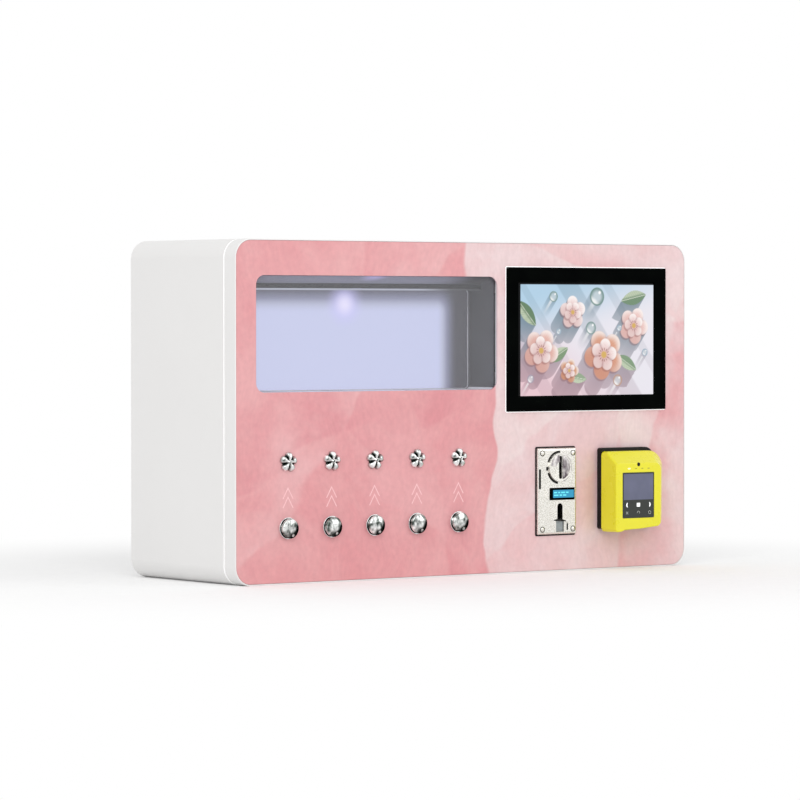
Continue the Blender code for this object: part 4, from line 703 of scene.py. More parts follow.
def chrome(name="chrome_plate_on_brass", clouds=("DADCDD", "E8E9E8"), painted_dark=None):
    """Chrome plate on brass: mirror-like, with a faint haze from wiping. When a dark colour is
    given, the piece is mottled with painted reflections in patches of 5 mm, and its tone attribute
    lays the dark colour on as painted shade and painted dark reflections."""
    material = worked_surface(name, clouds, 0.005 if painted_dark else 0.004, 0.0015, 0.000001,
                              (0.03, 0.09), (1, 1, 0.7) if painted_dark else (1, 1, 1), Metallic=1.0)
    if painted_dark:
        add = partial(add_node, material.node_tree)
        shader = material.node_tree.nodes["Principled BSDF"]
        plain = shader.inputs["Base Color"].links[0].from_socket
        tone = add("Attribute", attribute_name="tone").outputs["Fac"]
        dark = add("Mix", tone, plain, painted_dark, data_type="RGBA")
        feed(shader, Base_Color=dark, Specular_Tint=dark)
    return material


def metal_with_painted_reflection():
    """Dished chrome with a dark room's reflection painted into its colour, in cloudy patches of 5
    mm.
    """
    return worked_surface("dished_chrome_painted_reflection", ("6A6066", "F2EEEC"), 0.0065, 0.001, 0.00002,
                          (0.25, 0.4), stretch=(1, 1, 0.6), Metallic=1.0)


def coin_metal():
    """Satin-chromed zinc die casting: bright, with the sand-like grain of its polishing."""
    return worked_surface("satin_chromed_zinc", ("CBC8BE", "FAF8F3"), 0.0011, 0.0007, 0.00001,
                          (0.2, 0.34), Metallic=1.0)


def galvanised():
    """Galvanised sheet: pale zinc with a spangle of some 8 mm."""
    material, add, shader, point = start_material("galvanised_sheet", Metallic=1.0)
    cells = add("TexVoronoi", point, 1 / 0.008).outputs["Color"]
    feed(shader, Roughness=add("MapRange", cells, 0.0, 1.0, 0.32, 0.5),
         Base_Color=add("ValToRGB", cells, stops=[(0.0, "9DA1A3"), (1.0, "B2B6B8")]))
    return material


def zinc_plate():
    """Bright zinc plate on small steel parts: bluish, with fine drawing lines along its height."""
    return worked_surface("bright_zinc_plate", ("A9ADB0", "C3C6C8"), 0.006, 0.0005, 0.000008,
                          (0.25, 0.4), stretch=(1, 1, 0.1), Metallic=1.0)


def grey_abs():
    """Grey moulded plastic, rubbed smooth by coins."""
    return worked_surface("grey_moulded_abs", ("868D8F", "949B9C"), 0.004, 0.0006, 0.00001,
                          (0.3, 0.42))


def tank_plastic():
    """Blown polyethylene: milky, darker where the perfume stands, three quarters of its height."""
    material, add, shader, point = start_material(
        "blown_polyethylene", Roughness=0.38, Alpha=0.82, Subsurface_Weight=0.2)
    low, high = corners("perfume_tank_1")
    wave = add("TexNoise", point, 1 / 0.02)
    level = add("Math", wave, 0.002, low[2] + 0.75 * (high[2] - low[2]), operation="MULTIPLY_ADD")
    over = add("Math", add("SeparateXYZ", point).outputs["Z"], level, operation="GREATER_THAN")
    feed(shader, Base_Color=add("ValToRGB", over, stops=[(0.0, "D9C9A0"), (1.0, "EDEAE0")]))
    return material


def silicone_hose():
    """Clear silicone hose: soft, milky at its edges."""
    return worked_surface("clear_silicone", ("DDE2E4", "EEF1F2"), 0.01, 0.001, 0.000004,
                          (0.25, 0.35), Alpha=0.75)


def perforated_aluminium():
    """Aluminium case of a power supply, with its field of 4 mm vent holes shown as dark dots."""
    material, add, shader, point = start_material("perforated_aluminium", Metallic=1.0,
                                                  Roughness=0.42)
    pitch, hole_share = 0.0065, 0.30
    cell = add("VectorMath", point, 1 / pitch, operation="SCALE")
    part = add("VectorMath", cell, operation="FRACTION")
    centred = add("VectorMath", part, (0.5, 0.5, 0.5), operation="SUBTRACT")
    flat = add("VectorMath", centred, (1, 1, 0), operation="MULTIPLY")
    reach = add("VectorMath", flat, operation="LENGTH")
    ring = add("Math", reach, hole_share, operation="LESS_THAN")
    way = add("SeparateXYZ", add("NewGeometry").outputs["Normal"]).outputs
    top = add("Math", way["Z"], 0.9, operation="GREATER_THAN")
    holes = add("Math", ring, top, operation="MULTIPLY")
    feed(shader, Base_Color=add("ValToRGB", holes, stops=[(0.0, "A8AAAC"), (1.0, "101112")]))
    return material


def solder_mask():
    """Green solder mask over copper: traces of 1.3 mm, bent square, show as paler lines."""
    material, add, shader, point = start_material("solder_mask", Roughness=0.35)
    flat = add("Mapping", point, Scale=(1, 0, 1))
    cells = add("TexVoronoi", flat, 1 / 0.016, Randomness=0.8, distance="CHEBYCHEV")
    rings = add("Math", cells, 0.12, operation="PINGPONG")
    feed(shader, Base_Color=add("ValToRGB", rings, stops=[(0.070, "18492F"), (0.085, "2F6B49")]))
    return material


def lit_crystal():
    """Lit liquid crystal under glass: the picture is held point by point on the film itself."""
    material, add, shader, _ = start_material(
        "lit_liquid_crystal", Roughness=0.12, Base_Color="0A0A0C", Specular_IOR_Level=0.1,
        Emission_Strength=0.98)
    feed(shader, Emission_Color=add("Attribute", attribute_name="picture"))
    return material


def smoked_glass():
    """Smoked glass over a dim screen above and a black key field below."""
    material, add, shader, point = start_material("smoked_glass", Roughness=0.1)
    low, high = corners("reader_glass")
    apart = add("SeparateXYZ", point)
    line, margin = low[2] + 0.40 * (high[2] - low[2]), 0.0016
    inside = 1.0
    for axis, value, kind in (("Z", line, "GREATER_THAN"), ("Z", high[2] - margin, "LESS_THAN"),
                              ("X", low[0] + margin, "GREATER_THAN"),
                              ("X", high[0] - margin, "LESS_THAN")):
        test = add("Math", apart.outputs[axis], value, operation=kind)
        inside = add("Math", inside, test, operation="MULTIPLY")
    drift = add("TexNoise", point, 1 / 0.03)
    lit = add("ValToRGB", drift, stops=[(0.3, "5A5E74"), (0.7, "686B84")])
    feed(shader, Base_Color=add("Mix", inside, "262B26", lit, data_type="RGBA"))
    return material


class VENDING_OT_cabinet(bpy.types.Operator):
    """Cabinet walls with a folded rear, the well of the mains inlet and the dimple of the lock"""

    bl_idname = "vending.cabinet"
    bl_label = "Cabinet"

    def execute(self, context):
        sizes = context.scene.vending_sizes
        section = fillet([
            (SHEET, REAR - SHEET), (SHEET, SEAM_BACK), (0, SEAM_BACK), (0, REAR), (0.02, REAR),
        ], [0, sizes.edge, sizes.edge, sizes.fold, 0], 5)
        walls = piece("cabinet_walls", [framed(OUTLINE, section, 12)])
        carve(walls, self.openings())
        coat = powder_coat()
        finish(walls, "cabinet", "white_powder_coat", coat, "cabinet_shell")
        build("inlet_well", [self.well()], "cabinet", "white_powder_coat", coat)
        build("lock_dimple", [self.dimple()], "cabinet", "white_powder_coat", coat)
        # The seal's glow is painted light, so the seam shows bright
        seal = border(OUTLINE, 0.00015, SHEET - 0.0001, SEAM_BACK - 0.0003, SEAM_BACK + 0.00005,
                      12)
        build("door_seal", [seal], "cabinet", "clear_hose", seal_with_painted_glow())
        return {"FINISHED"}

    def openings(self):
        """Keyholes, each a circle and a narrower slot above it, then the well and the dimple."""
        inset, low, pitch, radius, slot, rise = 0.090, 0.090, 0.240, 0.005, 0.0026, 0.012
        meet = math.asin(slot / radius)
        outline = np.concatenate([
            arc(0, 0, radius, np.linspace(math.pi / 2 + meet, 5 * math.pi / 2 - meet, 40)),
            arc(0, rise, slot, np.linspace(0, math.pi, 12))])
        through = (REAR - 2 * SHEET, REAR + SHEET)
        radius, side = DIMPLE + SHEET / 2, SIZE_X / 2
        shells = [prism(outline + [x, z], through) for x in (inset - side, side - inset)
                  for z in (low, low + pitch)]
        shells.append(prism(shrunk_rectangle(self.well_shape(SHEET), 0), through))
        _, y, z = middle("lock_body")
        ends = [(radius, side - 2 * SHEET), (radius, side + SHEET)]
        shells.append(turned(ends, (0, y, z), "x"))
        return shells

    def well_shape(self, margin):
        """The inlet's place and the well's size, wider by a margin."""
        x, _, z = middle("power_inlet")
        return (x, z, 0.056 + 2 * margin, 0.036 + 2 * margin, 0.002 + margin)

    def well(self):
        """Pan section: lip, wall, floor up to the inlet's body, and the same back at one sheet."""
        wide, body = self.well_shape(SHEET), span("power_inlet")
        floor = REAR - 0.006
        lap = 0.0044
        section = [(SHEET, REAR - 0.0002), (SHEET, floor), (None, floor), (None, floor - SHEET),
                   (0, floor - SHEET), (0, REAR - 0.0002), (SHEET, REAR - 0.0002)]
        outlines = [shrunk_rectangle(wide, inset) if inset is not None else
                    rectangle(*wide[:2], body[0] - lap, body[2] - lap, 0.001)
                    for inset, _ in section]
        return at_depths(outlines, [depth for _, depth in section])

    def dimple(self):
        """Turned pan with a hole for the lock."""
        _, y, z = middle("lock_body")
        side = SIZE_X / 2
        floor, lip, wide, hole = side - 0.002, side - 0.00005, DIMPLE + SHEET / 2, 0.0093
        section = fillet([(wide, side - SHEET), (wide, lip), (DIMPLE, lip),
                          (DIMPLE - 0.0005, floor), (hole, floor), (hole, floor - SHEET),
                          (wide, floor - SHEET)],
                         [0, 0.0002, 0.0003, 0.0006, 0.0002, 0, 0.0006], 4)
        return turned(np.concatenate([section, section[:1]]), (0, y, z), "x")


class VENDING_OT_door(bpy.types.Operator):
    """Door pan with its thin rim, the printed face and the arrows printed on it"""

    bl_idname = "vending.door"
    bl_label = "Door"

    def execute(self, context):
        edge = context.scene.vending_sizes.edge
        section = fillet([
            (SHEET, PLATE_FRONT), (SHEET, 0), (0, 0), (0, SEAM_FRONT), (SHEET, SEAM_FRONT),
            (SHEET, PLATE_BACK),
        ], [0, edge / 3, edge, edge, edge, 0], 5)
        outlines = [shrunk_rectangle(OUTLINE, inset, 12) for inset, _ in section]
        window = shrunk_rectangle(WINDOW, 0, 12)
        pan = piece("door_pan", [at_depths([window, *outlines, window, window], [
            PLATE_FRONT, *section[:, 1], PLATE_BACK, PLATE_FRONT])])
        carve(pan, self.openings(PLATE_FRONT - 0.001, PLATE_BACK + 0.001))
        finish(pan, "door", "white_powder_coat", powder_coat(), "door_frame")
        finish(self.panel(), "door", "printed_face", printed_wash(), "face_panel")
        ink = worked_surface("pale_ink", ("F3BFC2", "F6C9CB"), 0.004, 0.001, 0.000002, (0.34, 0.4))
        for i in COLUMNS:
            finish(self.arrow(i), "door", "printed_face", ink)
        return {"FINISHED"}

    def panel(self):
        """Acrylic sheet between the outline and the window, with polished edges in front."""
        rim, thick = SHEET + 0.0003, 0.0020
        outer = (0, SIZE_Z / 2, SIZE_X - 2 * rim, SIZE_Z - 2 * rim, CORNER - rim)
        profile = slab_profile(0.0, thick, 0.0005)
        window = (*WINDOW[:4], 0.0115)
        opening = [(shrunk_rectangle(window, -i, 12), d) for i, d in profile[::-1]]
        outside = [(shrunk_rectangle(outer, i, 12), d) for i, d in profile]
        loop = [*opening, *outside, opening[0]]
        sheet = piece("printed_panel", [at_depths([o for o, _ in loop], [d for _, d in loop])])
        carve(sheet, self.openings(-0.001, thick + 0.001))
        return sheet

    def openings(self, *ends):
        """Openings behind the display, the coin unit, the reader and the columns."""
        shells = []
        margin = 0.0003
        for node in ("lcd_panel", "coin_mechanism"):
            x, _, z = middle(node)
            width, _, height = span(node) + 2 * margin
            shells.append(prism(rectangle(x, z, width, height, 0.0005), ends))
        holes = [(middle("reader_base"), 0.0093)]
        holes += [(middle(f"nozzle_{i}"), 0.0043) for i in COLUMNS]
        holes += [(middle(f"button_barrel_{i}"), 0.0113) for i in COLUMNS]
        for (x, _, z), radius in holes:
            profile = [(radius, end) for end in ends]
            shells.append(turned(profile, (x, FACE_Y, z), steps=40))
        return shells

    def arrow(self, index):
        """Two chevrons, each a flat strip of ink along a bent line: its ends are square to the
        arms, and the strip is mitred at the apex."""
        x = middle(f"nozzle_{index}")[0]
        half_width, height, stroke, film = 0.0072, 0.0125, 0.0006, 0.00003
        arm = math.hypot(half_width, height)
        line = np.array([(-half_width, -height), (0, 0), (half_width, -height)])
        across = np.array([(-height / arm, half_width / arm), (0, arm / half_width),
                           (height / arm, half_width / arm)])
        side = np.array([-stroke, stroke, stroke, -stroke])[:, None]
        depth = np.broadcast_to(FACE_Y - film - np.array([-film, -film, film, film]), (3, 4))
        shells = []
        for apex in (0.1115, 0.1010):
            flat = (line + [x, apex])[:, None] + side * across[:, None]
            shells.append(np.stack([flat[..., 0], depth, flat[..., 1]], -1))
        return piece(f"printed_arrow_{index}", shells)


class VENDING_OT_window(bpy.types.Operator):
    """Pane, compartment with painted light, and its lamp"""

    bl_idname = "vending.window"
    bl_label = "Window"

    def execute(self, context):
        dress(clear_acrylic(), "window_pane")
        dress(liner_paint(), "display_liner")
        dress(lit_panel(), "display_back_panel")
        low, high = corners("led_lamp")
        x, y, _ = middle("led_lamp")
        ceiling = low[2] + 0.0015
        lens = fillet([(0.0001, low[2]), (0.006, low[2]), (0.008, ceiling), (0.006, ceiling),
                       (0.006, high[2]), (0.0001, high[2])],
                      [0, 0.0012, 0.0003, 0, 0.0005, 0], 5)
        build("lamp_lens", [turned(lens, (x, y, 0), "z")], "cabinet", "lamp_lens",
              glowing("opal_lens", "B9B0E6", 0.35), "led_lamp")
        self.trims()
        return {"FINISHED"}

    def trims(self):
        """A strip with a painted glow under the step of the ceiling, and a bead round the back
        panel's edge.
        """
        x, z, width, height, radius = WINDOW
        panel = depths("display_back_panel")[0]
        drop, wall, bead = 0.0145, 0.0002, 0.0006
        pane, sheet, ceiling = 0.002, 0.0015, 0.049
        depth = PANE_FRONT + pane + sheet + 0.45 * ceiling
        line = (x, z + height / 2 - drop - 0.0012, width - 2 * wall, 0.0020, 0.0006)
        # The strip's glow is painted light, not a lamp
        build("ceiling_strip", [slab(line, depth + 0.0018, depth + 0.0026, 0.0002, 3)], "cabinet",
              "grey_liner_paint", strip_with_painted_glow())
        shape = (x - 0.0014, z - drop / 2, width - 0.0028, height - drop, radius)
        a = np.linspace(0, 2 * math.pi, 9)
        section = np.stack([bead * (1 - np.cos(a)) + wall, panel - wall - bead * (1 + np.sin(a))],
                           -1)
        build("back_panel_bead", [framed(shape, section, 8)], "cabinet", "grey_liner_paint",
              trim_aluminium())


class VENDING_OT_display(bpy.types.Operator):
    """Bezel, film with its picture, module and back cover of the advertising display"""

    bl_idname = "vending.display"
    bl_label = "Display"

    def execute(self, context):
        x, _, z = middle("lcd_bezel")
        width, _, height = span("lcd_bezel")
        front, back = depths("lcd_bezel")
        outer = (x, z, width, height, 0.0012)
        side = (width - 0.214) / 2
        section = fillet([
            (0, back), (0, front), (0.0028, front), (0.0032, front + 0.0004),
            (0.0036, front), (side - 0.0012, front), (side, front + 0.0012), (side, back),
            (0, back),
        ], [0, 0.0004, 0, 0.0002, 0, 0.0003, 0.0002, 0, 0], 4)
        build("display_bezel", [framed(outer, section, 4)], "door", "gloss_black", gloss_black(),
              "lcd_bezel")
        # The gasket glows with painted light, like the door seal
        gasket = border(outer, -0.0010, -0.00005, -0.0005, -0.00005, 4)
        build("display_gasket", [gasket], "door", "clear_hose", seal_with_painted_glow())
        finish(self.film(x, z), "door", "screen_glass", lit_crystal())
        dress(gloss_black(), "lcd_panel")
        self.cover(x, z)
        return {"FINISHED"}

    def cover(self, x, z):
        """Back cover with louvres, a raised field with its sockets, and four screws."""
        rear = depths("lcd_back_cover")[1]
        black = black_abs()
        ease("lcd_back_cover", 0.0010, "door", "black_plastic", black)
        raised = [rear_slab((x + side * 0.052 + i * 0.0075, z + 0.030, 0.0038, 0.046, 0.0018), rear,
                            0.0014, 0.0009) for side in (-1, 1) for i in range(-5, 6)]
        raised.append(rear_slab((x, z - 0.040, 0.150, 0.036, 0.004), rear, 0.0010, 0.0006))
        build("cover_louvres", raised, "door", "black_plastic", black)
        sockets = [rear_slab((x + place, z - 0.040, width, 0.007, 0.0008), rear + 0.0010, 0.0022,
                             0.0004) for place, width in ((-0.045, 0.024), (-0.010, 0.016),
                                                          (0.016, 0.016), (0.048, 0.012))]
        build("cover_sockets", sockets, "door", "grey_plastic", grey_abs())
        heads = [screw_head(x + sx * 0.108, z + sz * 0.068, rear) for sx, sz in FOUR_CORNERS]
        build("cover_screws", heads, "door", "zinc_plated_steel", zinc_plate())

    def film(self, x, z):
        """A grid over the lit area, one point each 0.75 mm, whose points hold the picture."""
        width, height, step, depth, thick = 0.2134, 0.1369, 0.00075, -0.0006, 0.0002
        u, v = np.meshgrid(np.linspace(0, 1, int(width / step)),
                           np.linspace(0, 1, int(height / step)), indexing="xy")
        front = np.stack([x + (u - 0.5) * width, 0 * u + FACE_Y + depth,
                          z + (v - 0.5) * height], -1)
        rows, columns = u.shape
        index = np.arange(rows * columns).reshape(rows, columns)
        quads = np.stack([index[:-1, :-1], index[:-1, 1:], index[1:, 1:], index[1:, :-1]], -1)
        rim = np.concatenate([index[0], index[1:, -1], index[-1, -2::-1], index[-2:0:-1, 0]])
        base = index.size + np.arange(len(rim))
        beside = np.roll(np.arange(len(rim)), -1)
        walls = np.stack([rim, base, base[beside], rim[beside]], -1)
        points = front.reshape(-1, 3)
        behind = points[rim] + [0, thick, 0]
        mesh = bpy.data.meshes.new("display_film")
        faces = quads.reshape(-1, 4).tolist() + walls.tolist() + [base[::-1].tolist()]
        mesh.from_pydata(np.concatenate([points, behind]).tolist(), [], faces)
        live = (u * width > 0.0032) & (v * height < height - 0.0022)
        colours = (paint_picture(u * width / height, v) * live[..., None]).reshape(-1, 3)
        alpha = np.ones((len(colours), 1))
        shown = np.concatenate([np.hstack([colours, alpha]),
                                np.zeros((len(rim), 4))]).astype(np.float32)
        layer = mesh.color_attributes.new("picture", "FLOAT_COLOR", "POINT")
        layer.data.foreach_set("color", shown.ravel())
        return linked("display_film", mesh)


def laid_over(picture, *layers):
    """Picture with colours laid over it in turn, each as (mask, colour, share)."""
    for mask, code, share in layers:
        amount = (mask * share)[..., None]
        picture = picture * (1 - amount) + np.array(linear(code)[:3]) * amount
    return picture


def soft_step(value, low, high):
    """0 below low, 1 above high, and t t (3 - 2 t) between."""
    t = np.clip((value - low) / (high - low), 0, 1)
    return t * t * (3 - 2 * t)


# The display picture, in units of its height: leaves (x, y, length, turn, colour), blossoms
# (x, y, size, turn, colour) and beads of glass (x, y, size, colour of the rim)
LEAVES = ((0.20, 0.62, 0.30, 2.3, "6E8A6C"), (0.34, 0.30, 0.26, 0.5, "87A07F"),
          (1.18, 0.84, 0.30, 0.2, "7B967A"), (1.36, 0.22, 0.26, 2.6, "8AA385"),
          (0.78, 0.14, 0.22, 3.0, "9DB094"))
BLOSSOMS = ((0.26, 0.40, 0.20, 0.2, "E9BFB4"), (0.62, 0.74, 0.15, 0.9, "F7E4E2"),
            (0.98, 0.36, 0.23, 0.5, "E0A88C"), (1.33, 0.62, 0.17, 1.4, "F3D2CC"),
            (0.58, 0.22, 0.11, 0.0, "D9A27E"))
BEADS = ((0.83, 0.60, 0.060, "6F8F8A"), (0.46, 0.57, 0.028, "8FA9BE"),
         (1.16, 0.60, 0.030, "8FA9BE"), (1.14, 0.13, 0.055, "B98A70"),
         (0.14, 0.15, 0.040, "9C8CA0"), (0.90, 0.88, 0.085, "5F857C"),
         (1.46, 0.38, 0.034, "8FA9BE"), (0.40, 0.88, 0.050, "6F8F8A"))


def paint_picture(u, v):
    """A generic still life: blossoms, leaves and glass beads on a pale ground under a low sun,
    whose long shadows are the shapes themselves, moved away from it by up to 0.2."""
    ground = np.ones((*u.shape, 3)) * linear("ECE9F1")[:3]
    ground = laid_over(ground, (1 - soft_step(0.7 * u + v, 0.2, 1.1), "ECCBD3", 1),
                       (soft_step(v - 0.3 * u, 0.25, 0.85), "B5D3E8", 1))
    for offset, breadth, share in ((0.35, 0.10, 0.2), (0.78, 0.05, 0.15), (1.30, 0.14, 0.25),
                                   (1.75, 0.06, 0.15)):
        band = 1 - soft_step(np.abs(u + 0.75 * v - offset), breadth * 0.8, breadth)
        high = soft_step(v, 0.05, 0.6)
        ground = laid_over(ground, (band * high, "5C7784", share),
                           (band * (1 - high), "9A7F8E", share))
    shadow, glint = np.zeros(u.shape), np.zeros(u.shape)
    for t in np.linspace(0.04, 1, 12):
        moved = u + 0.11 * t, v + 0.15 * t
        for leaf in LEAVES:
            shadow = np.maximum(shadow, leaf_shape(*moved, *leaf[:4])[0] * (1 - 0.3 * t))
        for blossom in BLOSSOMS:
            shadow = np.maximum(shadow, petal_shape(*moved, *blossom[:4])[0] * (1 - 0.3 * t))
        for x, y, size, _ in BEADS:
            away = np.hypot(moved[0] - x, moved[1] - y) / size
            shadow = np.maximum(shadow, (1 - soft_step(away, 0.9, 1.05)) * 0.7 * (1 - t))
            glint = np.maximum(glint, (1 - soft_step(away, 0.1, 0.4)) * (t > 0.3) * (1 - t))
    high = soft_step(v, 0.0, 0.6)
    picture = laid_over(ground, (shadow * high, "55707E", 0.75),
                        (shadow * (1 - high), "8E6F7C", 0.75), (glint, "FFFFFF", 0.9))
    for paint, things in ((paint_leaf, LEAVES), (paint_blossom, BLOSSOMS), (paint_bead, BEADS)):
        for thing in things:
            picture = paint(picture, u, v, *thing)
    return picture


def leaf_shape(u, v, x, y, length, turn):
    """Where a leaf lies, the place along it and off its midrib: half its breadth is
    0.22 sin(pi t) ** 0.8 of its length."""
    along = ((u - x) * math.cos(turn) + (v - y) * math.sin(turn)) / length
    off = (-(u - x) * math.sin(turn) + (v - y) * math.cos(turn)) / length
    inside = np.where((along > 0) & (along < 1), 0.22 * np.abs(np.sin(math.pi * along)) ** 0.8, 0)
    return soft_step(inside - np.abs(off), 0, 0.02), along, off


def petal_shape(u, v, x, y, size, turn, scale=1.0):
    """Where five petals lie, the reach and the angle: their edge is 0.7 + 0.3 |cos(5/2 angle)|."""
    reach, angle = np.hypot(u - x, v - y) / size, np.arctan2(v - y, u - x) + turn
    edge = scale * (0.7 + 0.3 * np.abs(np.cos(2.5 * angle)) ** 0.8)
    return 1 - soft_step(reach, edge - 0.05, edge), reach / edge, angle


def paint_leaf(picture, u, v, x, y, length, turn, code):
    """A leaf with a bright midrib, slanting veins and one half in the light."""
    mask, along, off = leaf_shape(u, v, x, y, length, turn)
    veins = np.clip(np.cos(75 * (along - np.abs(off))), 0, 1) ** 4
    midrib = 1 - soft_step(np.abs(off), 0.004, 0.014)
    return laid_over(picture, (mask, code, 1), (mask * soft_step(off, 0, 0.10), "DCE6CC", 0.65),
                     (mask * veins, "4E6650", 0.35), (mask * midrib, "EEF2E2", 0.8))


def paint_blossom(picture, u, v, x, y, size, turn, code):
    """Two rings of five veined petals, light towards the sun and dark between the petals, over
    a ring of stamens."""
    for scale, offset, tint in ((1.0, 0.0, code), (0.66, math.pi / 5, "FBE9E6")):
        mask, reach, angle = petal_shape(u, v, x, y, size, turn + offset, scale)
        under = petal_shape(u + 0.012, v + 0.016, x, y, size, turn + offset, scale)[0]
        sunny = soft_step(((u - x) * 0.6 + (v - y) * 0.8) / size, -0.7, 0.7)
        veins = np.clip(np.cos(41 * angle + 2 * np.sin(9 * reach)), 0, 1) ** 3
        crease = (1 - np.abs(np.cos(2.5 * angle))) ** 3
        picture = laid_over(
            picture, (under * (1 - mask), "8A5A5C", 0.45), (mask, tint, 1),
            (mask * (1 - sunny), "B4716B", 0.35),
            (mask * sunny * soft_step(reach, 0.6, 1.0), "FFFDFB", 0.75),
            (mask * veins * (1 - soft_step(reach, 0.3, 1.0)), "A9605F", 0.3),
            (mask * crease, "9A565C", 0.6),
            (mask * (1 - soft_step(reach, 0, 0.75)), "CF8288", 0.5))
    heart = np.hypot(u - x, v - y) / size
    spots = np.clip(np.cos(13 * np.arctan2(v - y, u - x)), 0, 1) ** 2
    ring = soft_step(heart, 0.15, 0.2) * (1 - soft_step(heart, 0.24, 0.29))
    return laid_over(picture, (ring * spots, "7A4A1E", 0.9),
                     (1 - soft_step(heart, 0.10, 0.17), "D9B36A", 1))


def paint_bead(picture, u, v, x, y, size, code):
    """A glass bead: a dark rim, a bright crescent away from the sun and one highlight."""
    dx, dy = (u - x) / size, (v - y) / size
    reach = np.hypot(dx, dy)
    inside = 1 - soft_step(reach, 0.92, 1.0)
    crescent = soft_step(-(dx * 0.6 + dy * 0.8), 0.2, 0.75) * (1 - soft_step(reach, 0.7, 0.85))
    highlight = 1 - soft_step(np.hypot(dx - 0.35, dy - 0.42), 0.10, 0.24)
    return laid_over(picture, (inside, "E4EEF0", 0.5),
                     (inside * soft_step(reach, 0.35, 0.98), code, 0.9),
                     (crescent, "FFFFFF", 0.95), (highlight, "FFFFFF", 1))


class VENDING_OT_nozzles(bpy.types.Operator):
    """Spray nozzles: a chrome flower outside, a threaded stem, nut and barb inside"""

    bl_idname = "vending.nozzles"
    bl_label = "Nozzles"

    def execute(self, context):
        sizes = context.scene.vending_sizes
        # Chrome mottled with painted reflections, and darkened by the tone as painted shade
        metal = chrome("fluted_chrome_painted_light", ("BEC3C0", "FFFFFF"), "565D5A")
        for i in COLUMNS:
            x, _, z = middle(f"nozzle_{i}")
            low, high = corners(f"nozzle_{i}")
            petals, painted_shade_and_reflection = self.flower(x, z, low, sizes)
            build(f"spray_nozzle_{i}", [petals, self.stem(x, z, high)], "door", "chrome_plate",
                  metal, f"nozzle_{i}", sharp=60, tones=[painted_shade_and_reflection, None])
        return {"FINISHED"}

    def flower(self, x, z, low, sizes):
        """Grid over radius r and angle a. Between two petals lies a narrow gap, where ((1 - cos
        5a)/2) to the 5th is near 1: there the outline dips and the height falls. Across a petal the
        height is a low arch. Returns the points and a tone for each: painted shade, deepest in each
        gap between petals, and painted dark reflections in four spots."""
        radius, proud = 0.0118, FACE_Y - low[1]
        a = all_round(180)
        wave = (1 - np.cos(sizes.petals * a)) / 2
        gap = wave ** 5
        r = np.array([0.075, 0.085, 0.10, 0.15, 0.19, 0.22, 0.27, 0.34, 0.44, 0.55, 0.66, 0.76,
                      0.85, 0.92, 0.97, 1.0, 1.0])
        lift = np.array([0.62, 0.97, 1.0, 1.0, 0.96, 0.80, 0.74, 0.80, 0.84, 0.85, 0.82, 0.75,
                         0.64, 0.50, 0.33, 0.14, 0.0])
        groove = np.interp(r, [0.20, 0.30, 0.8, 1.0], [0.0, 0.55, 0.60, 0.12])
        arch = np.interp(r, [0.20, 0.45, 1.0], [0.0, 0.16, 0.16])
        dip = np.interp(r, [0.3, 1.0], [0.0, sizes.petal_depth])
        reach = radius * r[:, None] * (1 - dip[:, None] * (0.65 * gap + 0.35 * wave ** 2))
        height = lift[:, None] - groove[:, None] * gap - arch[:, None] * wave ** 1.5
        height = proud * np.clip(height, 0.02, 1.0)
        height[-1] = 0.0
        turn = a + math.radians(4)
        points = np.stack([x + reach * np.sin(turn), FACE_Y - 0.0002 - height,
                           z + reach * np.cos(turn)], -1)
        # Painted shade in each gap between the petals
        depth = np.interp(r, [0.18, 0.24, 0.32, 1.0], [0.3, 0.9, 1.0, 0.9])[:, None]
        tone = depth * (1.25 * gap ** 0.7)
        # Painted dark reflections in four spots of the flower
        for spot_x, spot_z, size in ((-0.75, 0.20, 0.15), (-0.26, 0.46, 0.15), (0.36, 0.20, 0.10),
                                     (-0.10, -0.10, 0.07)):
            away = np.hypot((points[..., 0] - x) / radius - spot_x,
                            (points[..., 2] - z) / radius - spot_z)
            tone = tone + 1.2 * np.exp(-(away / size) ** 2)
        return points, np.clip(tone, 0, 1)

    def stem(self, x, z, high):
        """Turned: the thread is a row of small ridges, then a nut, the stem and the barb."""
        end = high[1] - FACE_Y
        ridge = np.linspace(-0.001, PANE_FRONT, 15)
        thread = np.stack([0.0038 + 0.0002 * (np.arange(15) % 2), ridge], -1)
        rest = fillet([(0.0040, PANE_FRONT), (0.0070, PANE_FRONT), (0.0070, PANE_FRONT + 0.003),
                       (0.0040, PANE_FRONT + 0.003), (0.0040, end - 0.006), (0.0021, end - 0.006),
                       (0.0026, end - 0.0042), (0.0019, end - 0.0042), (0.0026, end - 0.0022),
                       (0.0019, end - 0.0022), (0.0020, end)],
                      [0, 0.0005, 0.0005, 0, 0.0004, 0, 0, 0, 0, 0, 0], 3)
        return turned(np.concatenate([thread, rest]), (x, FACE_Y, z), steps=40)


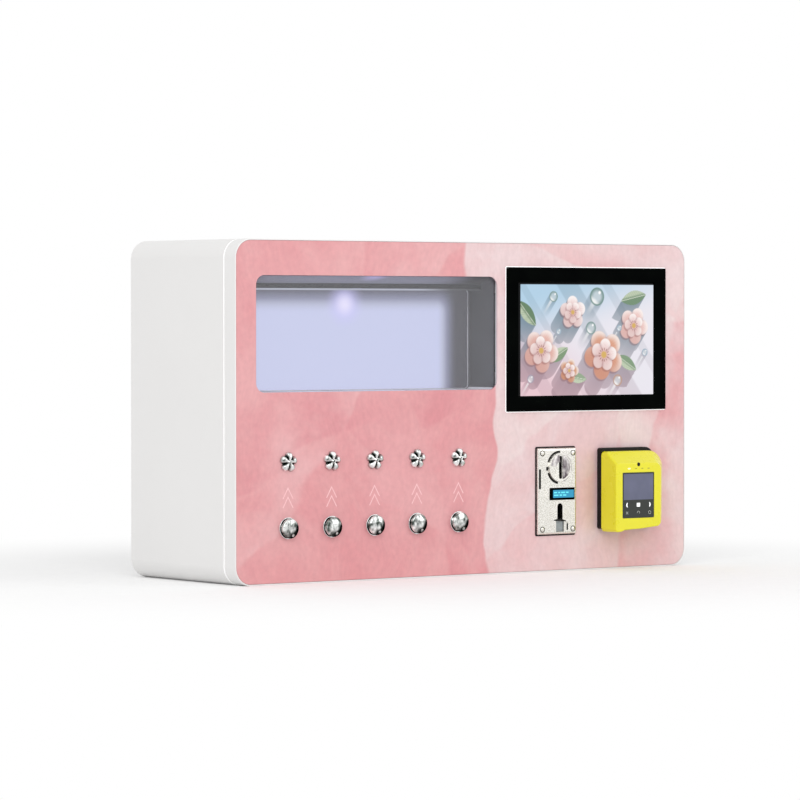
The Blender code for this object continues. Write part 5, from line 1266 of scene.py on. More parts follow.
class VENDING_OT_buttons(bpy.types.Operator):
    """Push buttons with a domed head, and their rings, threaded barrels and switches"""

    bl_idname = "vending.buttons"
    bl_label = "Buttons"

    def execute(self, context):
        steps = context.scene.vending_sizes.round_steps
        metal = chrome()
        # The domes' chrome is mottled with painted reflections
        clouded = chrome("chrome_plate_painted_reflections", ("4C544F", "FCFEFC"), "1A1E1C")
        for i in COLUMNS:
            x, _, z = middle(f"button_{i}")
            centre = (x, FACE_Y, z)
            rings = turned(self.head(i), centre, steps=steps)
            build(f"push_button_{i}", [rings], f"button_{i}", "chrome_plate", clouded,
                  f"button_{i}", tones=[self.crescent(rings - centre)])
            build(f"button_ring_{i}", [turned(self.barrel(i), centre, steps=steps)], "door",
                  "zinc_plated_steel", metal, f"button_barrel_{i}")
        return {"FINISHED"}

    def crescent(self, points):
        """How dark the painted reflection is at each point of a dome: 1 outside a circle moved up
        and left, on the lower right half, except in one spot near the lower rim that stays bright
        as a painted highlight."""
        radius = 0.0118
        x, z = points[..., 0] / radius, points[..., 2] / radius
        dark = soft_step(np.hypot(x + 0.20, z - 0.22), 0.52, 0.84)
        low_right = (x - z) / np.maximum(np.hypot(x, z), 0.01) / math.sqrt(2)
        return (dark * soft_step(low_right, -0.05, 0.65)
                * soft_step(np.hypot(x - 0.20, z + 0.68), 0.10, 0.19))

    def head(self, i):
        """Profile: a dome of radius r (sin t) over the rim, then rim, shank and plunger."""
        front, back = depths(f"button_{i}")
        radius, rise = span(f"button_{i}")[0] / 2, 0.0036
        t = np.linspace(0.02, 1, 36) * math.pi / 2
        dome = np.stack([(radius - 0.0004) * np.sin(t), front + rise * (1 - np.cos(t))], -1)
        under = front + rise + 0.0009
        rest = fillet([(radius - 0.0004, front + rise), (radius, front + rise + 0.0002),
                       (radius, under), (0.0085, under), (0.0085, under + 0.007),
                       (0.003, under + 0.007), (0.003, back), (0.0001, back)],
                      [0, 0.0002, 0.0002, 0, 0.0003, 0, 0.0005, 0], 3)
        return np.concatenate([dome, rest[1:]])

    def barrel(self, i):
        """Profile from the bore's floor out over the ring and back along the thread."""
        front, back = depths(f"button_barrel_{i}")
        bore, plunger = 0.0088, 0.0033
        floor = front + 0.0070
        thread = np.linspace(PANE_FRONT + 0.003, 0.016, 25)
        ridges = np.stack([0.0107 + 0.0003 * (np.arange(25) % 2), thread], -1)
        first = fillet([(plunger, floor + 0.007), (plunger, floor), (bore, floor), (bore, front),
                        (0.0127, front), (0.0127, -0.0003), (0.011, -0.0003),
                        (0.011, PANE_FRONT), (0.0135, PANE_FRONT), (0.0135, PANE_FRONT + 0.003),
                        (0.0107, PANE_FRONT + 0.003)],
                       [0, 0, 0, 0.0005, 0.0006, 0, 0, 0, 0.0005, 0.0005, 0], 4)
        last = fillet([(0.0107, 0.016), (0.009, 0.016), (0.009, back), (0.0001, back)],
                      [0, 0.0003, 0.0005, 0], 3)
        return np.concatenate([first, ridges, last])


class VENDING_OT_coin_unit(bpy.types.Operator):
    """Coin acceptor: plate with its disc, grooves and screws, reject button, display and flap"""

    bl_idname = "vending.coin_unit"
    bl_label = "Coin unit"

    def execute(self, context):
        metal, dark = coin_metal(), black_abs()
        x, _, z = middle("coin_plate")
        width, _, height = span("coin_plate")
        disc_x, disc_z = x + 0.003, z + 0.0288
        plate = piece("coin_face", [slab((x, z, width, height, 0.0015), -0.005, -0.0009, 0.0030)])
        carve(plate, [self.disc(disc_x, disc_z)], "UNION")
        carve(plate, self.openings(x, z, disc_x, disc_z))
        finish(plate, "door", "polished_zinc_plate", metal, "coin_plate")
        gasket = piece("coin_gasket", [slab((x - 0.0003, z, width + 0.0020, height + 0.0034, 0.002),
                                            -0.0010, -0.0002, 0.0002)])
        carve(gasket, [prism(rectangle(x, z, 0.0446, 0.1026, 0.0006), (-0.003, 0.001))])
        finish(gasket, "door", "black_plastic", dark)
        self.screws(context.scene.vending_sizes.screw_slot, x, z, metal, dark)
        self.small_parts(x, z, disc_x, disc_z, metal, dark)
        self.mechanism(dark, metal)
        dress(galvanised(), "coin_box")
        return {"FINISHED"}

    def mechanism(self, dark, metal):
        """Selector behind the door, with the lid, plug and adjusting knob on its rear."""
        x, _, z = middle("coin_mechanism")
        rear = depths("coin_mechanism")[1]
        ease("coin_mechanism", 0.0006, "door", "black_plastic", dark)
        lid = [rear_slab((x, z + 0.016, 0.038, 0.062, 0.003), rear, 0.0012, 0.0006)]
        lid += [rear_slab((x, z + 0.002 + 0.0055 * i, 0.028, 0.0022, 0.001), rear + 0.0012, 0.0006,
                          0.0004) for i in range(6)]
        build("selector_lid", lid, "door", "black_plastic", dark)
        plug = [rear_slab((x - 0.007, z - 0.032, 0.020, 0.009, 0.0006), rear, 0.0050, 0.0005)]
        build("selector_plug", plug, "door", "grey_plastic", grey_abs())
        heads = [screw_head(x + sx * 0.0155, z + 0.016 + sz * 0.0275, rear + 0.0012)
                 for sx, sz in FOUR_CORNERS]
        heads.append(screw_head(x + 0.0125, z - 0.032, rear, 0.0040, 0.0038))
        build("selector_screws", heads, "door", "polished_zinc_plate", metal)

    def disc(self, x, z):
        """Raised disc, dished towards its middle by 0.6 mm."""
        t = np.linspace(0.01, 1, 8)
        dish = np.stack([0.0166 * t, -0.0064 - 0.0006 * t ** 2], -1)
        edge = fillet([(0.0166, -0.0070), (0.0175, -0.0070), (0.0175, -0.003), (0.001, -0.003)],
                      [0, 0.0004, 0, 0], 4)
        return turned(np.concatenate([dish, edge]), (x, FACE_Y, z), steps=96)

    def openings(self, x, z, disc_x, disc_z):
        """Coin slot, half-moon, display opening, return opening and the two arc grooves."""
        through = (-0.009, 0.0)
        shells = [prism(outline, through) for outline in (
            rectangle(disc_x, disc_z, 0.0046, 0.028, 0.0022),
            half_moon(disc_x, disc_z, 0.0148, 0.0033),
            rectangle(x + 0.0068, z - 0.0034, 0.0394, 0.0150, 0.0006),
            self.return_line(x + 0.0035, z))]
        slit = rectangle(x + 0.0148, z - 0.0430, 0.0016, 0.0100, 0.0007)
        shells.append(prism(slit, (-0.006, -0.0035)))
        shells += [arc_bar(disc_x, disc_z, 0.0190, 0.0028, start, end, -0.006, -0.0038)
                   for start, end in GROOVES]
        return shells

    def return_line(self, x, z):
        """Finger slot with a round top over the wider window of the flap."""
        half, wide = 0.0041, 0.0061
        top, lintel, sill = z - 0.0190, z - 0.036, z - 0.0495
        return np.concatenate([[(x - wide, sill), (x + wide, sill), (x + wide, lintel),
                                (x + half, lintel)], arc(x, top, half, np.linspace(0, math.pi, 16)),
                               [(x - half, lintel), (x - wide, lintel)]])

    def screws(self, slot, x, z, metal, dark):
        """Four raised screw heads with a straight slot each, set at their own angles."""
        inset, radius = 0.0062, 0.0028
        side, _, top = span("coin_plate") / 2 - inset
        for index, (sx, sz, turn) in enumerate(((-1, 1, 0.3), (1, 1, 1.1), (-1, -1, 2.0),
                                                (1, -1, 0.7)), start=1):
            place = [x + sx * side, z + sz * top]
            t = np.linspace(0.03, 1, 8) * math.pi / 2
            dome = np.stack([radius * np.sin(t), -0.0059 + 0.0009 * (1 - np.cos(t))], -1)
            profile = np.concatenate([dome, [(radius, -0.0045), (0.0005, -0.0045)]])
            head = piece(f"coin_screw_{index}", [turned(profile, (place[0], FACE_Y, place[1]),
                                                        steps=32)])
            line = rotated(rectangle(0, 0, 0.0050, slot, 0.0001), turn) + place
            carve(head, [prism(line, (-0.007, -0.0054))])
            finish(head, "door", "polished_zinc_plate", metal)
            # A black ring round each head: a painted shadow
            build(f"coin_screw_recess_{index}",
                  [arc_bar(*place, 0.0032, 0.0008, 0, 360, -0.0052, -0.0046, 33)],
                  "door", "black_plastic", dark)

    def small_parts(self, x, z, disc_x, disc_z, metal, dark):
        """What is set into the plate, each piece at its own depth."""
        moon = at_depths([half_moon(disc_x, disc_z, 0.0145 - i, 0.0036 + i)
                          for i in (0.0006, 0.0003, 0.0001, 0.0, 0.0)],
                         (-0.0078, -0.00775, -0.0076, -0.0072, -0.0030))
        # Chrome with painted reflections for the reject button and the disc's dish
        dished = metal_with_painted_reflection()
        build("reject_button", [moon], "coin_reject_button", "polished_zinc_plate", dished,
              "coin_reject_button")
        build("disc_dish_and_painted_rim_shadow", [
            arc_bar(disc_x, disc_z, 0.0112, 0.0090, 98, 172, -0.0071, -0.0063),
            # A thin arc along the disc's right rim: a painted shadow line
            arc_bar(disc_x, disc_z, 0.0171, 0.0007, -78, 78, -0.00715, -0.0060, 40)],
            "door", "polished_zinc_plate", dished)
        # Black slabs where the slits show dark: painted shade
        build("coin_slit_painted_shade", [
            slab((x - 0.0275, z + 0.0150, 0.0027, 0.0240, 0.0004), -0.0051, -0.0036, 0.0001),
            slab((x + 0.0150, z - 0.0436, 0.0022, 0.0080, 0.0008), -0.0052, -0.0045, 0.0001)],
            "door", "black_plastic", dark)
        self.small_display(x + 0.0068, z - 0.0034)
        # Black floors in the arc grooves: painted shade
        build("coin_plate_grooves", [
            arc_bar(disc_x, disc_z, 0.0190, 0.0027, start, end, -0.0043, -0.0037)
            for start, end in GROOVES], "door", "black_plastic", dark)
        build("coin_plate_ribs", [
            slab((x - 0.0179, z - 0.0095 + i * 0.0011, 0.0065, 0.0006, 0.0002), -0.00525, -0.0045,
                 0.0001, 2) for i in range(12)], "door", "polished_zinc_plate", metal)
        build("disc_mark", [slab((disc_x - 0.0194, disc_z - 0.0013, 0.0034, 0.0046, 0.0008),
                                 -0.0051, -0.0045, 0.0001)], "door", "black_plastic", dark)
        flap = slab((x + 0.0035, z - 0.04275, 0.0116, 0.0129, 0.0006), -0.0034, -0.0022, 0.0003)
        build("return_flap", [flap], "coin_return_flap", "grey_plastic", grey_abs(),
              "coin_return_flap")
        build("return_lip", [self.lip(x + 0.0035, z - 0.0352)], "door", "black_plastic", dark)

    def small_display(self, x, z):
        """Dark case, blue field and two rows of plain bars, given by their lengths in mm."""
        build("coin_display_case", [slab((x, z, 0.0388, 0.0144, 0.0006), -0.0056, -0.0026, 0.0003)],
              "door", "coin_display_blue", gloss_black(), "coin_display")
        build("coin_display_field", [slab((x + 0.0016, z, 0.0322, 0.0094, 0.0004), -0.0058,
                                          -0.0054, 0.0001)],
              "door", "coin_display_blue", glowing("blue_liquid_crystal", "1B84AA", 0.42))
        bars = []
        for row, lengths in ((1.6, (5, 3, 6, 4)), (-1.6, (7, 4, 5))):
            start = -14.5
            for length in lengths:
                place = (x + 0.0012 + (start + length / 2) / 1000, z + row / 1000, length / 1000,
                         0.0017, 0.0002)
                bars.append(slab(place, -0.00585, -0.0056, 0.00002, 2))
                start += length + 1.6
        build("coin_display_bars", bars, "door", "coin_display_blue",
              glowing("lit_bars", "5CCBD6", 0.5))

    def lip(self, x, z):
        """A lip over the return opening, which bows up and thins towards both its ends."""
        along = np.linspace(-1, 1, 25)
        path = np.stack([x + 0.0095 * along, 0 * along + FACE_Y - 0.0051,
                         z - 0.0010 * along ** 2 - 0.0006 * along], -1)
        a = all_round(12)
        taper = (1 - 0.6 * along ** 2)[:, None, None]
        return path[:, None] + taper * np.stack([0 * a, 0.0008 * np.cos(a), 0.0013 * np.sin(a)], -1)


def half_moon(x, z, radius, offset, steps=24):
    """The part of a disc right of a vertical line."""
    reach = math.acos(offset / radius)
    return arc(x, z, radius, np.linspace(-reach, reach, steps))


class VENDING_OT_card_reader(bpy.types.Operator):
    """Card reader: black base, yellow housing, smoked glass with its key symbols"""

    bl_idname = "vending.card_reader"
    bl_label = "Card reader"

    WIDE = np.array([(-0.0420, -0.0535, 0.006), (0.0465, -0.0475, 0.008),
                     (0.0475, 0.0455, 0.021), (-0.0420, 0.0455, 0.005)])
    NARROW = np.array([(-0.0415, -0.0530, 0.004), (0.0305, -0.0465, 0.006),
                       (0.0310, 0.0320, 0.010), (-0.0415, 0.0320, 0.003)])

    def execute(self, context):
        x, _, z = middle("reader_base")
        dark = black_abs()
        half, tall = 0.042, 0.0497
        plate = [fillet([(x - half + i, z - tall + i), (x + half - i, z - tall + i),
                         (x + half - i, z + tall - i), (x - half + i, z + tall - i)],
                        [0.003 - i, 0.003 - i, 0.013 - i, 0.003 - i], 8)
                 for i in (0.0008, 0.0002, 0.0, 0.0)]
        build("reader_back", [at_depths(plate, (-0.008, -0.0078, -0.0072, -0.0003)),
                              self.boss(x, z)], "door", "black_plastic", dark, "reader_base")
        housing = piece("reader_shell", [self.shell(x, z)], 40)
        carve(housing, self.openings(x, z), sharp=40)
        finish(housing, "door", "yellow_plastic", yellow_abs(), "reader_housing")
        glass_x, _, glass_z = middle("reader_glass")
        shape = (glass_x, glass_z, 0.050, 0.0555, 0.0012)
        build("reader_window", [slab(shape, -0.036, -0.0348, 0.0003)], "door",
              "reader_glass_dark", smoked_glass(), "reader_glass")
        shells = self.symbols(glass_x)
        build("reader_keys", shells[:3], "door", "reader_glass_dark",
              glowing("key_backlight", "F2F4F4", 0.6))
        build("reader_low_keys", shells[3:], "door", "reader_glass_dark",
              small_print("dim_key_print", ("A9AFA8", "B9BEB7")))
        pills = self.lamp(x, z)
        build("reader_lamp", pills[:1], "door", "reader_glass_dark",
              glowing("lit_lamp", "F4F0B8", 0.35))
        build("reader_unlit_lamps", pills[1:], "door", "yellow_plastic",
              small_print("unlit_lamp", ("A8A52C", "B8B53A")))
        build("reader_sensor", self.sensor(x, z), "door", "black_plastic", dark)
        return {"FINISHED"}

    def outline(self, x, z, share, inset=0.0, steps=10):
        """Between the wide outline (share 0) and the narrow one (1), moved in and rounded."""
        spots = self.WIDE * (1 - share) + self.NARROW * share
        places = spots[:, :2] - np.sign(spots[:, :2]) * inset + [x, z]
        return fillet(places, np.maximum(spots[:, 2] - inset, 0.0006), steps)

    def shell(self, x, z):
        """Rings from the hollow round the rear rim and forwards. The sides run straight to the
        shoulder, slope in evenly to the narrow outline, and end in a quarter arc of the edge."""
        back, shoulder, front, wall, edge = -0.0083, -0.0180, -0.0360, 0.002, 0.0014
        slope = fillet([(0.0, back), (0.0, shoulder), (0.015, front + edge)], [0, 0.003, 0], 5)
        t = np.linspace(0, math.pi / 2, 6)[1:]
        rings = [(1.0, wall, front + 0.0032), (0.0, wall, shoulder), (0.0, wall, back)]
        rings += [(across / 0.015, 0.0, depth) for across, depth in slope]
        rings += [(1.0, edge * (1 - math.cos(a)), front + edge * (1 - math.sin(a))) for a in t]
        return at_depths([self.outline(x, z, share, inset) for share, inset, _ in rings],
                         [depth for _, _, depth in rings])

    def openings(self, x, z):
        """Recess of the glass, the card's slot and the finger hollow under it."""
        glass_x, _, glass_z = middle("reader_glass")
        recess = rectangle(glass_x, glass_z, 0.0506, 0.0561, 0.0013)
        low, middle_x, half, rise = z - 0.0545, x - 0.004, 0.0245, 0.0052
        slot = rectangle(middle_x, low + 0.005, 0.055, 0.012, 0.0005)
        hollow = fillet([(middle_x - half - rise, low), (middle_x + half + rise, low),
                         (middle_x + half, low + rise), (middle_x - half, low + rise)],
                        [0.0005, 0.0005, 0.008, 0.008], 8)
        return [prism(recess, (-0.038, -0.0345)), prism(slot, (-0.0297, -0.0243)),
                prism(hollow, (-0.038, -0.027))]

    def boss(self, x, z):
        """Turned boss and nut behind the face."""
        profile = fillet([(0.009, -0.004), (0.009, PANE_FRONT), (0.014, PANE_FRONT),
                          (0.014, PANE_FRONT + 0.003), (0.009, PANE_FRONT + 0.003),
                          (0.009, 0.009)], [0, 0, 0.0006, 0.0006, 0, 0], 3)
        return turned(profile, (x, FACE_Y, z), steps=40)

    def symbols(self, x):
        """Two rows of key symbols: arrow, arrow, square, and below them cross, hook and ring."""
        front, back = -0.0361, -0.0359
        left, right = x - 0.0180, x + 0.0180
        top, low = 0.0797, 0.0700
        a = np.linspace(-1.25, 1.25, 14)
        outlines = []
        for place, way in ((left, -1), (right, 1)):
            bow, hollow = [np.stack([way * reach * np.cos(a), 0.0030 * np.sin(a)], -1)
                           for reach in (0.0026, 0.0009)]
            outlines.append(np.concatenate([bow, hollow[::-1]]) + [place - way * 0.0012, top])
        outlines.append(rectangle(x, top, 0.0052, 0.0046, 0.0008))
        bar = rectangle(0, 0, 0.0042, 0.0008, 0.0002)
        outlines += [rotated(bar, turn) + [left, low] for turn in (math.pi / 4, -math.pi / 4)]
        shells = [prism(outline, (front, back)) for outline in outlines]
        for place, sweep in ((x, (-0.6, 3.4)), (right, (0.0, 2 * math.pi))):
            ring = arc(place, low, 0.0019, np.linspace(*sweep, 28))
            path = np.insert(ring, 1, FACE_Y - 0.0360, axis=1)
            shells.append(carried(arc(0, 0, 0.00032, all_round(8)), path))
        return shells

    def lamp(self, x, z):
        """A white pill and three faint lamps above the glass."""
        row, front, back = z + 0.0247, -0.0362, -0.0355
        places = [(x - 0.0208, 0.0046, 0.0020), (x - 0.0100, 0.0034, 0.0012),
                  (x + 0.0002, 0.0030, 0.0012), (x + 0.0102, 0.0034, 0.0012)]
        return [slab((cx, row, width, height, height / 2.2), front, back, 0.0001)
                for cx, width, height in places]

    def sensor(self, x, z):
        """The round light sensor above the lamps."""
        profile = fillet([(0.0002, -0.0364), (0.0023, -0.0364), (0.0023, -0.0352),
                          (0.0002, -0.0352)], [0, 0.0003, 0, 0], 4)
        return [turned(profile, (x - 0.0057, FACE_Y, z + 0.0297), steps=32)]


class VENDING_OT_tanks(bpy.types.Operator):
    """Tanks, pumps, hoses and the rack on the door"""

    bl_idname = "vending.tanks"
    bl_label = "Tanks and pumps"

    def execute(self, context):
        plastic, hose = tank_plastic(), silicone_hose()
        black, steel = black_abs(), zinc_plate()
        dress(galvanised(), "tank_rack")
        for i in COLUMNS:
            build(f"tank_{i}", [self.tank(i)], "door", "translucent_tank", plastic,
                  f"perfume_tank_{i}", sharp=40)
            build(f"tank_cap_{i}", [self.cap(i)], "door", "pump_black", black, sharp=60)
            build(f"dosing_pump_{i}", self.pump(i), "door", "pump_black", black, f"pump_{i}")
            build(f"pump_motor_{i}", [self.motor(i)], "door", "zinc_plated_steel", steel)
            build(f"hose_{i}", [self.hose(i)], "door", "clear_hose", hose, f"tube_{i}")
        return {"FINISHED"}

    def tank(self, i):
        """Superellipse section of power 7 with blown hoops, shoulders down to a round neck."""
        low, high = corners(f"perfume_tank_{i}")
        x, y, _ = middle(f"perfume_tank_{i}")
        half, rise = (high[0] - low[0]) / 2, high[2] - low[2]
        t = np.array([0, 0.006, 0.02, *np.linspace(0.05, 0.80, 30), 0.83, 0.86, 0.875, 0.885,
                      0.93])
        power = np.interp(t, [0.8, 0.87], [7, 2])
        size = np.interp(t, [0, 0.006, 0.02, 0.83, 0.86, 0.875, 0.885, 0.93],
                         [0.92, 0.975, 1.0, 1.0, 0.80, 0.5, 0.385, 0.385])
        hoop = np.where((t > 0.05) & (t < 0.8), 0.012 * np.cos(t * 2 * math.pi / 0.15), 0) - 0.012
        a = all_round(72)[None]
        p = power[:, None]
        reach = (np.abs(np.cos(a)) ** p + np.abs(np.sin(a)) ** p) ** (-1 / p)
        r = half * (size + hoop * (size > 0.9))[:, None] * reach
        z = low[2] + rise * t[:, None] + 0 * a
        return np.stack([x + r * np.cos(a), y + r * np.sin(a), z], -1)

    def cap(self, i):
        """Screw cap with 36 grip ridges: its radius swings by 0.2 mm round the rim."""
        high = corners(f"perfume_tank_{i}")[1]
        x, y, _ = middle(f"perfume_tank_{i}")
        a = all_round(144)
        profile = fillet([(0.0020, high[2] - 0.008), (0.0118, high[2] - 0.008),
                          (0.0118, high[2]), (0.0020, high[2])],
                         [0, 0.0004, 0.001, 0], 4)
        ridge = 1 + 0.016 * np.sign(np.cos(36 * a)) * (profile[:, :1] > 0.0112)
        r = profile[:, :1] * ridge
        return np.stack([x + r * np.cos(a), y + r * np.sin(a), profile[:, 1:] + 0 * a], -1)

    def pump(self, i):
        """Pump body with a waist, its suction pipe below and its outlet pipe in front."""
        low, high = corners(f"pump_{i}")
        x, y, base = middle(f"pump_{i}")[0], high[1] - PUMP_RADIUS, low[2] + 0.016
        wide, waist = PUMP_RADIUS, 0.0128
        body = fillet([(0.0002, low[2]), (0.0025, low[2]), (0.0025, base), (wide, base),
                       (wide, base + 0.008), (waist, base + 0.010), (waist, base + 0.018),
                       (wide, base + 0.020), (wide, base + 0.023), (0.0120, base + 0.023)],
                      [0, 0.0004, 0, 0.001, 0.0006, 0.0006, 0.0006, 0.0006, 0.0006, 0], 3)
        outlet = [(0.0025, low[1]), (0.0025, y - 0.012)]
        return [turned(body, (x, y, 0), "z", 48), turned(outlet, (x, 0, base + 0.014), "y", 24)]

    def motor(self, i):
        """Drawn steel can of the motor, with its rolled top edge and bearing boss."""
        low, high = corners(f"pump_{i}")
        x, y, base = middle(f"pump_{i}")[0], high[1] - PUMP_RADIUS, low[2] + 0.039
        profile = fillet([(0.0002, base), (0.0115, base), (0.0115, high[2] - 0.0012),
                          (0.0045, high[2] - 0.0012), (0.0045, high[2]), (0.0002, high[2])],
                         [0, 0, 0.0015, 0.0003, 0.0004, 0], 4)
        return turned(profile, (x, y, 0), "z", 48)

    def hose(self, i):
        """Bezier curve from the pump's outlet to the nozzle's barb, with level ends."""
        high = corners(f"tube_{i}")[1]
        x, _, nozzle_z = middle(f"nozzle_{i}")
        start = np.array([x, corners(f"pump_{i}")[0][1] - 0.0003, high[2] - 0.002])
        end = np.array([x, corners(f"nozzle_{i}")[1][1] + 0.0003, nozzle_z])
        handle = np.array([0, (start[1] - end[1]) * 0.6, 0])
        t = np.linspace(0, 1, 40)[:, None]
        path = ((1 - t) ** 3 * start + 3 * t * (1 - t) ** 2 * (start - handle)
                + 3 * t ** 2 * (1 - t) * (end + handle) + t ** 3 * end)
        return carried(arc(0, 0, 0.002, all_round(20)), path, up=(1.0, 0.0, 0.0))


class VENDING_OT_lock(bpy.types.Operator):
    """Cam lock, hinge and keeper"""

    bl_idname = "vending.lock"
    bl_label = "Lock and hinge"

    def execute(self, context):
        metal = chrome()
        _, y, z = middle("lock_body")
        low, high = corners("lock_body")
        body = fillet([
            (0.0063, high[0]), (0.012, high[0]), (0.012, high[0] - 0.0015),
            (0.009, high[0] - 0.0015), (0.009, low[0]), (0.0063, low[0]), (0.0063, high[0]),
        ], [0, 0.0006, 0, 0, 0.0003, 0, 0], 4)
        nut = [(0.0092, high[0] - 0.0036), (0.0125, high[0] - 0.0036),
               (0.0125, high[0] - 0.0076), (0.0092, high[0] - 0.0076)]
        nut.append(nut[0])
        build("lock_housing", [turned(body, (0, y, z), "x"), turned(nut, (0, y, z), "x", 6)],
              "cabinet", "zinc_plated_steel", metal, "lock_body")
        ease("lock_cam", 0.0003, "lock_cam", "zinc_plated_steel", metal)
        dress(zinc_plate(), "hinge_body_leaf", "hinge_door_leaf", "hinge_pin", "lock_keeper")
        return {"FINISHED"}


class VENDING_OT_electrics(bpy.types.Operator):
    """Power supply, control board with its parts, mains inlet and rocker"""

    bl_idname = "vending.electrics"
    bl_label = "Electrics"

    def execute(self, context):
        ease("power_supply", 0.0006, "cabinet", "supply_aluminium", perforated_aluminium())
        dress(solder_mask(), "control_board")
        low, high = corners("control_board")
        front = low[1] + 0.009
        depth = front - FACE_Y
        black = black_abs()
        cans, chips, plugs = [], [], []
        for dx, dz in ((0.03, 0.03), (0.045, 0.03), (0.03, 0.062), (0.128, 0.07)):
            profile = fillet([(0.0002, -0.0001), (0.005, -0.0001), (0.005, -0.011),
                              (0.0002, -0.011)], [0, 0, 0.0008, 0], 3)
            cans.append(turned(profile, (low[0] + dx, front, low[2] + dz), steps=32))
        for dx, dz, width, height in ((0.06, 0.03, 0.012, 0.007), (0.10, 0.06, 0.010, 0.010),
                                      (0.12, 0.03, 0.014, 0.006), (0.055, 0.065, 0.008, 0.012)):
            shape = (low[0] + dx, low[2] + dz, width, height, 0.0003)
            chips.append(slab(shape, depth - 0.0018, depth - 0.0001, 0.0002, 2))
        rail = low[1] - FACE_Y
        for k in range(8):
            shape = (low[0] + 0.032 + 0.0135 * k, high[2] - 0.0142, 0.0110, 0.0066, 0.0004)
            plugs.append(slab(shape, rail - 0.0006, rail, 0.0003, 2))
        build("board_capacitors", cans, "cabinet", "zinc_plated_steel", zinc_plate())
        build("board_chips", chips, "cabinet", "black_plastic", black)
        build("board_plugs", plugs, "cabinet", "grey_plastic", grey_abs())
        ease("power_inlet", 0.0003, "cabinet", "black_plastic", black)
        ease("inlet_rocker", 0.0005, "inlet_rocker", "black_plastic", black)
        return {"FINISHED"}


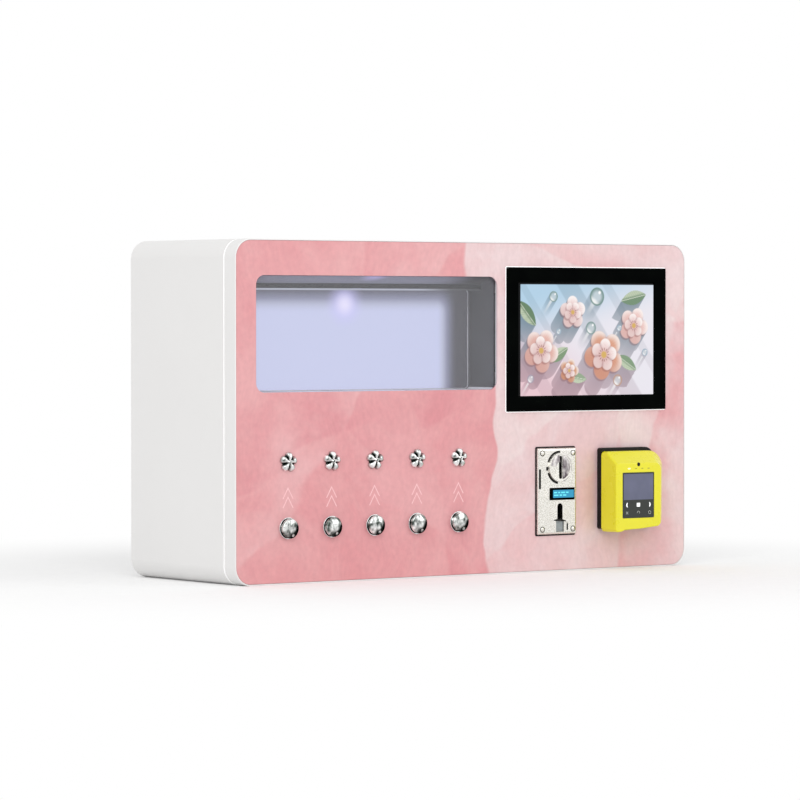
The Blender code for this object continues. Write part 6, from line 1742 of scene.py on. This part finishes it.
class VENDING_OT_studio(bpy.types.Operator):
    """Pale floor, soft lamps, white surroundings and the camera"""

    bl_idname = "vending.studio"
    bl_label = "Studio"

    def execute(self, context):
        scene = context.scene
        scene.view_settings.view_transform = "Standard"
        self.camera(scene)
        self.surroundings(scene)
        self.floor()
        self.lamp("key_lamp", (-2.6, -3.0, 2.8), side=3.4, watts=66)
        self.lamp("fill_lamp", (2.4, -3.4, 2.0), side=2.8, watts=30)
        return {"FINISHED"}

    def camera(self, scene):
        """A long lens, almost level, to the left of the machine."""
        data = bpy.data.cameras.new("camera")
        data.lens, data.sensor_width = LENS * 1000, SENSOR * 1000
        camera = linked("camera", data)
        a, e = math.radians(CAMERA_AZIMUTH), math.radians(CAMERA_PITCH)
        ahead = Vector((-math.sin(a) * math.cos(e), math.cos(a) * math.cos(e), -math.sin(e)))
        camera.location = CAMERA_PLACE
        camera.rotation_euler = ahead.to_track_quat("-Z", "Y").to_euler()
        data.clip_start, data.clip_end = 0.1, 60.0
        scene.camera = camera

    def surroundings(self, scene):
        """Light of one level all round, shown as plain white to the camera, metal and glass."""
        world = bpy.data.worlds.new("white_room")
        scene.world = world
        world.use_nodes = True
        world.node_tree.nodes.clear()
        add = partial(add_node, world.node_tree)
        level = add("MapRange", seen_rays(add), 0.0, 1.0, 0.76, 1.0)
        light = add("Background", Color="FFFFFF", Strength=level)
        add("OutputWorld", Surface=light)

    def floor(self):
        """Matt white, a little lit where it is seen, and plain white past half a metre or so."""
        side, near, far = 30.0, 0.42, 0.95
        points = np.array([(-1, -1, 0), (1, -1, 0), (1, 1, 0), (-1, 1, 0)]) * side
        mesh = bpy.data.meshes.new("floor")
        mesh.from_pydata(points.tolist(), [], [(0, 1, 2, 3)])
        material, add, shader, point = start_material(
            "matt_white_floor", Roughness=0.9, Specular_IOR_Level=0.0, Emission_Color="FFFFFF")
        paper = add("TexNoise", point, 40.0)
        seen = seen_rays(add)
        feed(shader, Emission_Strength=add("Math", seen, 0.06, operation="MULTIPLY"),
             Base_Color=add("ValToRGB", paper, stops=[(0.0, "F4F4F4"), (1.0, "F8F8F8")]))
        away = add("VectorMath", point, operation="LENGTH")
        away = add("MapRange", away, near, far, interpolation_type="SMOOTHSTEP")
        white = add("Math", away, seen, operation="MULTIPLY")
        plain = add("Emission", Color="FFFFFF", Strength=1.0)
        feed(material.node_tree.nodes["Material Output"],
             Surface=add("MixShader", white, shader, plain))
        mesh.materials.append(material)
        linked("floor", mesh)

    def lamp(self, name, place, side, watts):
        """A square soft box, aimed at the machine's middle."""
        data = bpy.data.lights.new(name, "AREA")
        data.shape, data.size, data.energy = "SQUARE", side, watts
        lamp = linked(name, data)
        aim = Vector((0, 0, SIZE_Z / 2)) - Vector(place)
        lamp.location = place
        lamp.rotation_euler = aim.to_track_quat("-Z", "Y").to_euler()


class VENDING_PT_steps(bpy.types.Panel):
    """The steps that dress the machine, in order"""

    bl_idname = "VENDING_PT_steps"
    bl_label = "Vending machine"
    bl_space_type = "VIEW_3D"
    bl_region_type = "UI"
    bl_category = "Machine"

    def draw(self, context):
        for settings in (context.scene.vending_sizes, context.scene.vending_colours):
            for name in settings.__annotations__:
                self.layout.prop(settings, name)
        for step in STEPS:
            self.layout.operator(step.bl_idname)


STEPS = (
    VENDING_OT_cabinet, VENDING_OT_door, VENDING_OT_window, VENDING_OT_display,
    VENDING_OT_nozzles, VENDING_OT_buttons, VENDING_OT_coin_unit, VENDING_OT_card_reader,
    VENDING_OT_tanks, VENDING_OT_lock, VENDING_OT_electrics, VENDING_OT_studio,
)
CLASSES = (VendingSizes, VendingColours, *STEPS, VENDING_PT_steps)


def register():
    """Adds the settings, the steps and their panel to Blender."""
    for item in CLASSES:
        bpy.utils.register_class(item)
    bpy.types.Scene.vending_sizes = PointerProperty(type=VendingSizes)
    bpy.types.Scene.vending_colours = PointerProperty(type=VendingColours)


def unregister():
    """Takes the settings, the steps and their panel away again."""
    del bpy.types.Scene.vending_sizes
    del bpy.types.Scene.vending_colours
    for item in reversed(CLASSES):
        bpy.utils.unregister_class(item)


def main():
    """Runs every step in order."""
    register()
    bpy.ops.vending.cabinet()
    bpy.ops.vending.door()
    bpy.ops.vending.window()
    bpy.ops.vending.display()
    bpy.ops.vending.nozzles()
    bpy.ops.vending.buttons()
    bpy.ops.vending.coin_unit()
    bpy.ops.vending.card_reader()
    bpy.ops.vending.tanks()
    bpy.ops.vending.lock()
    bpy.ops.vending.electrics()
    bpy.ops.vending.studio()


if __name__ == "__main__":
    main()
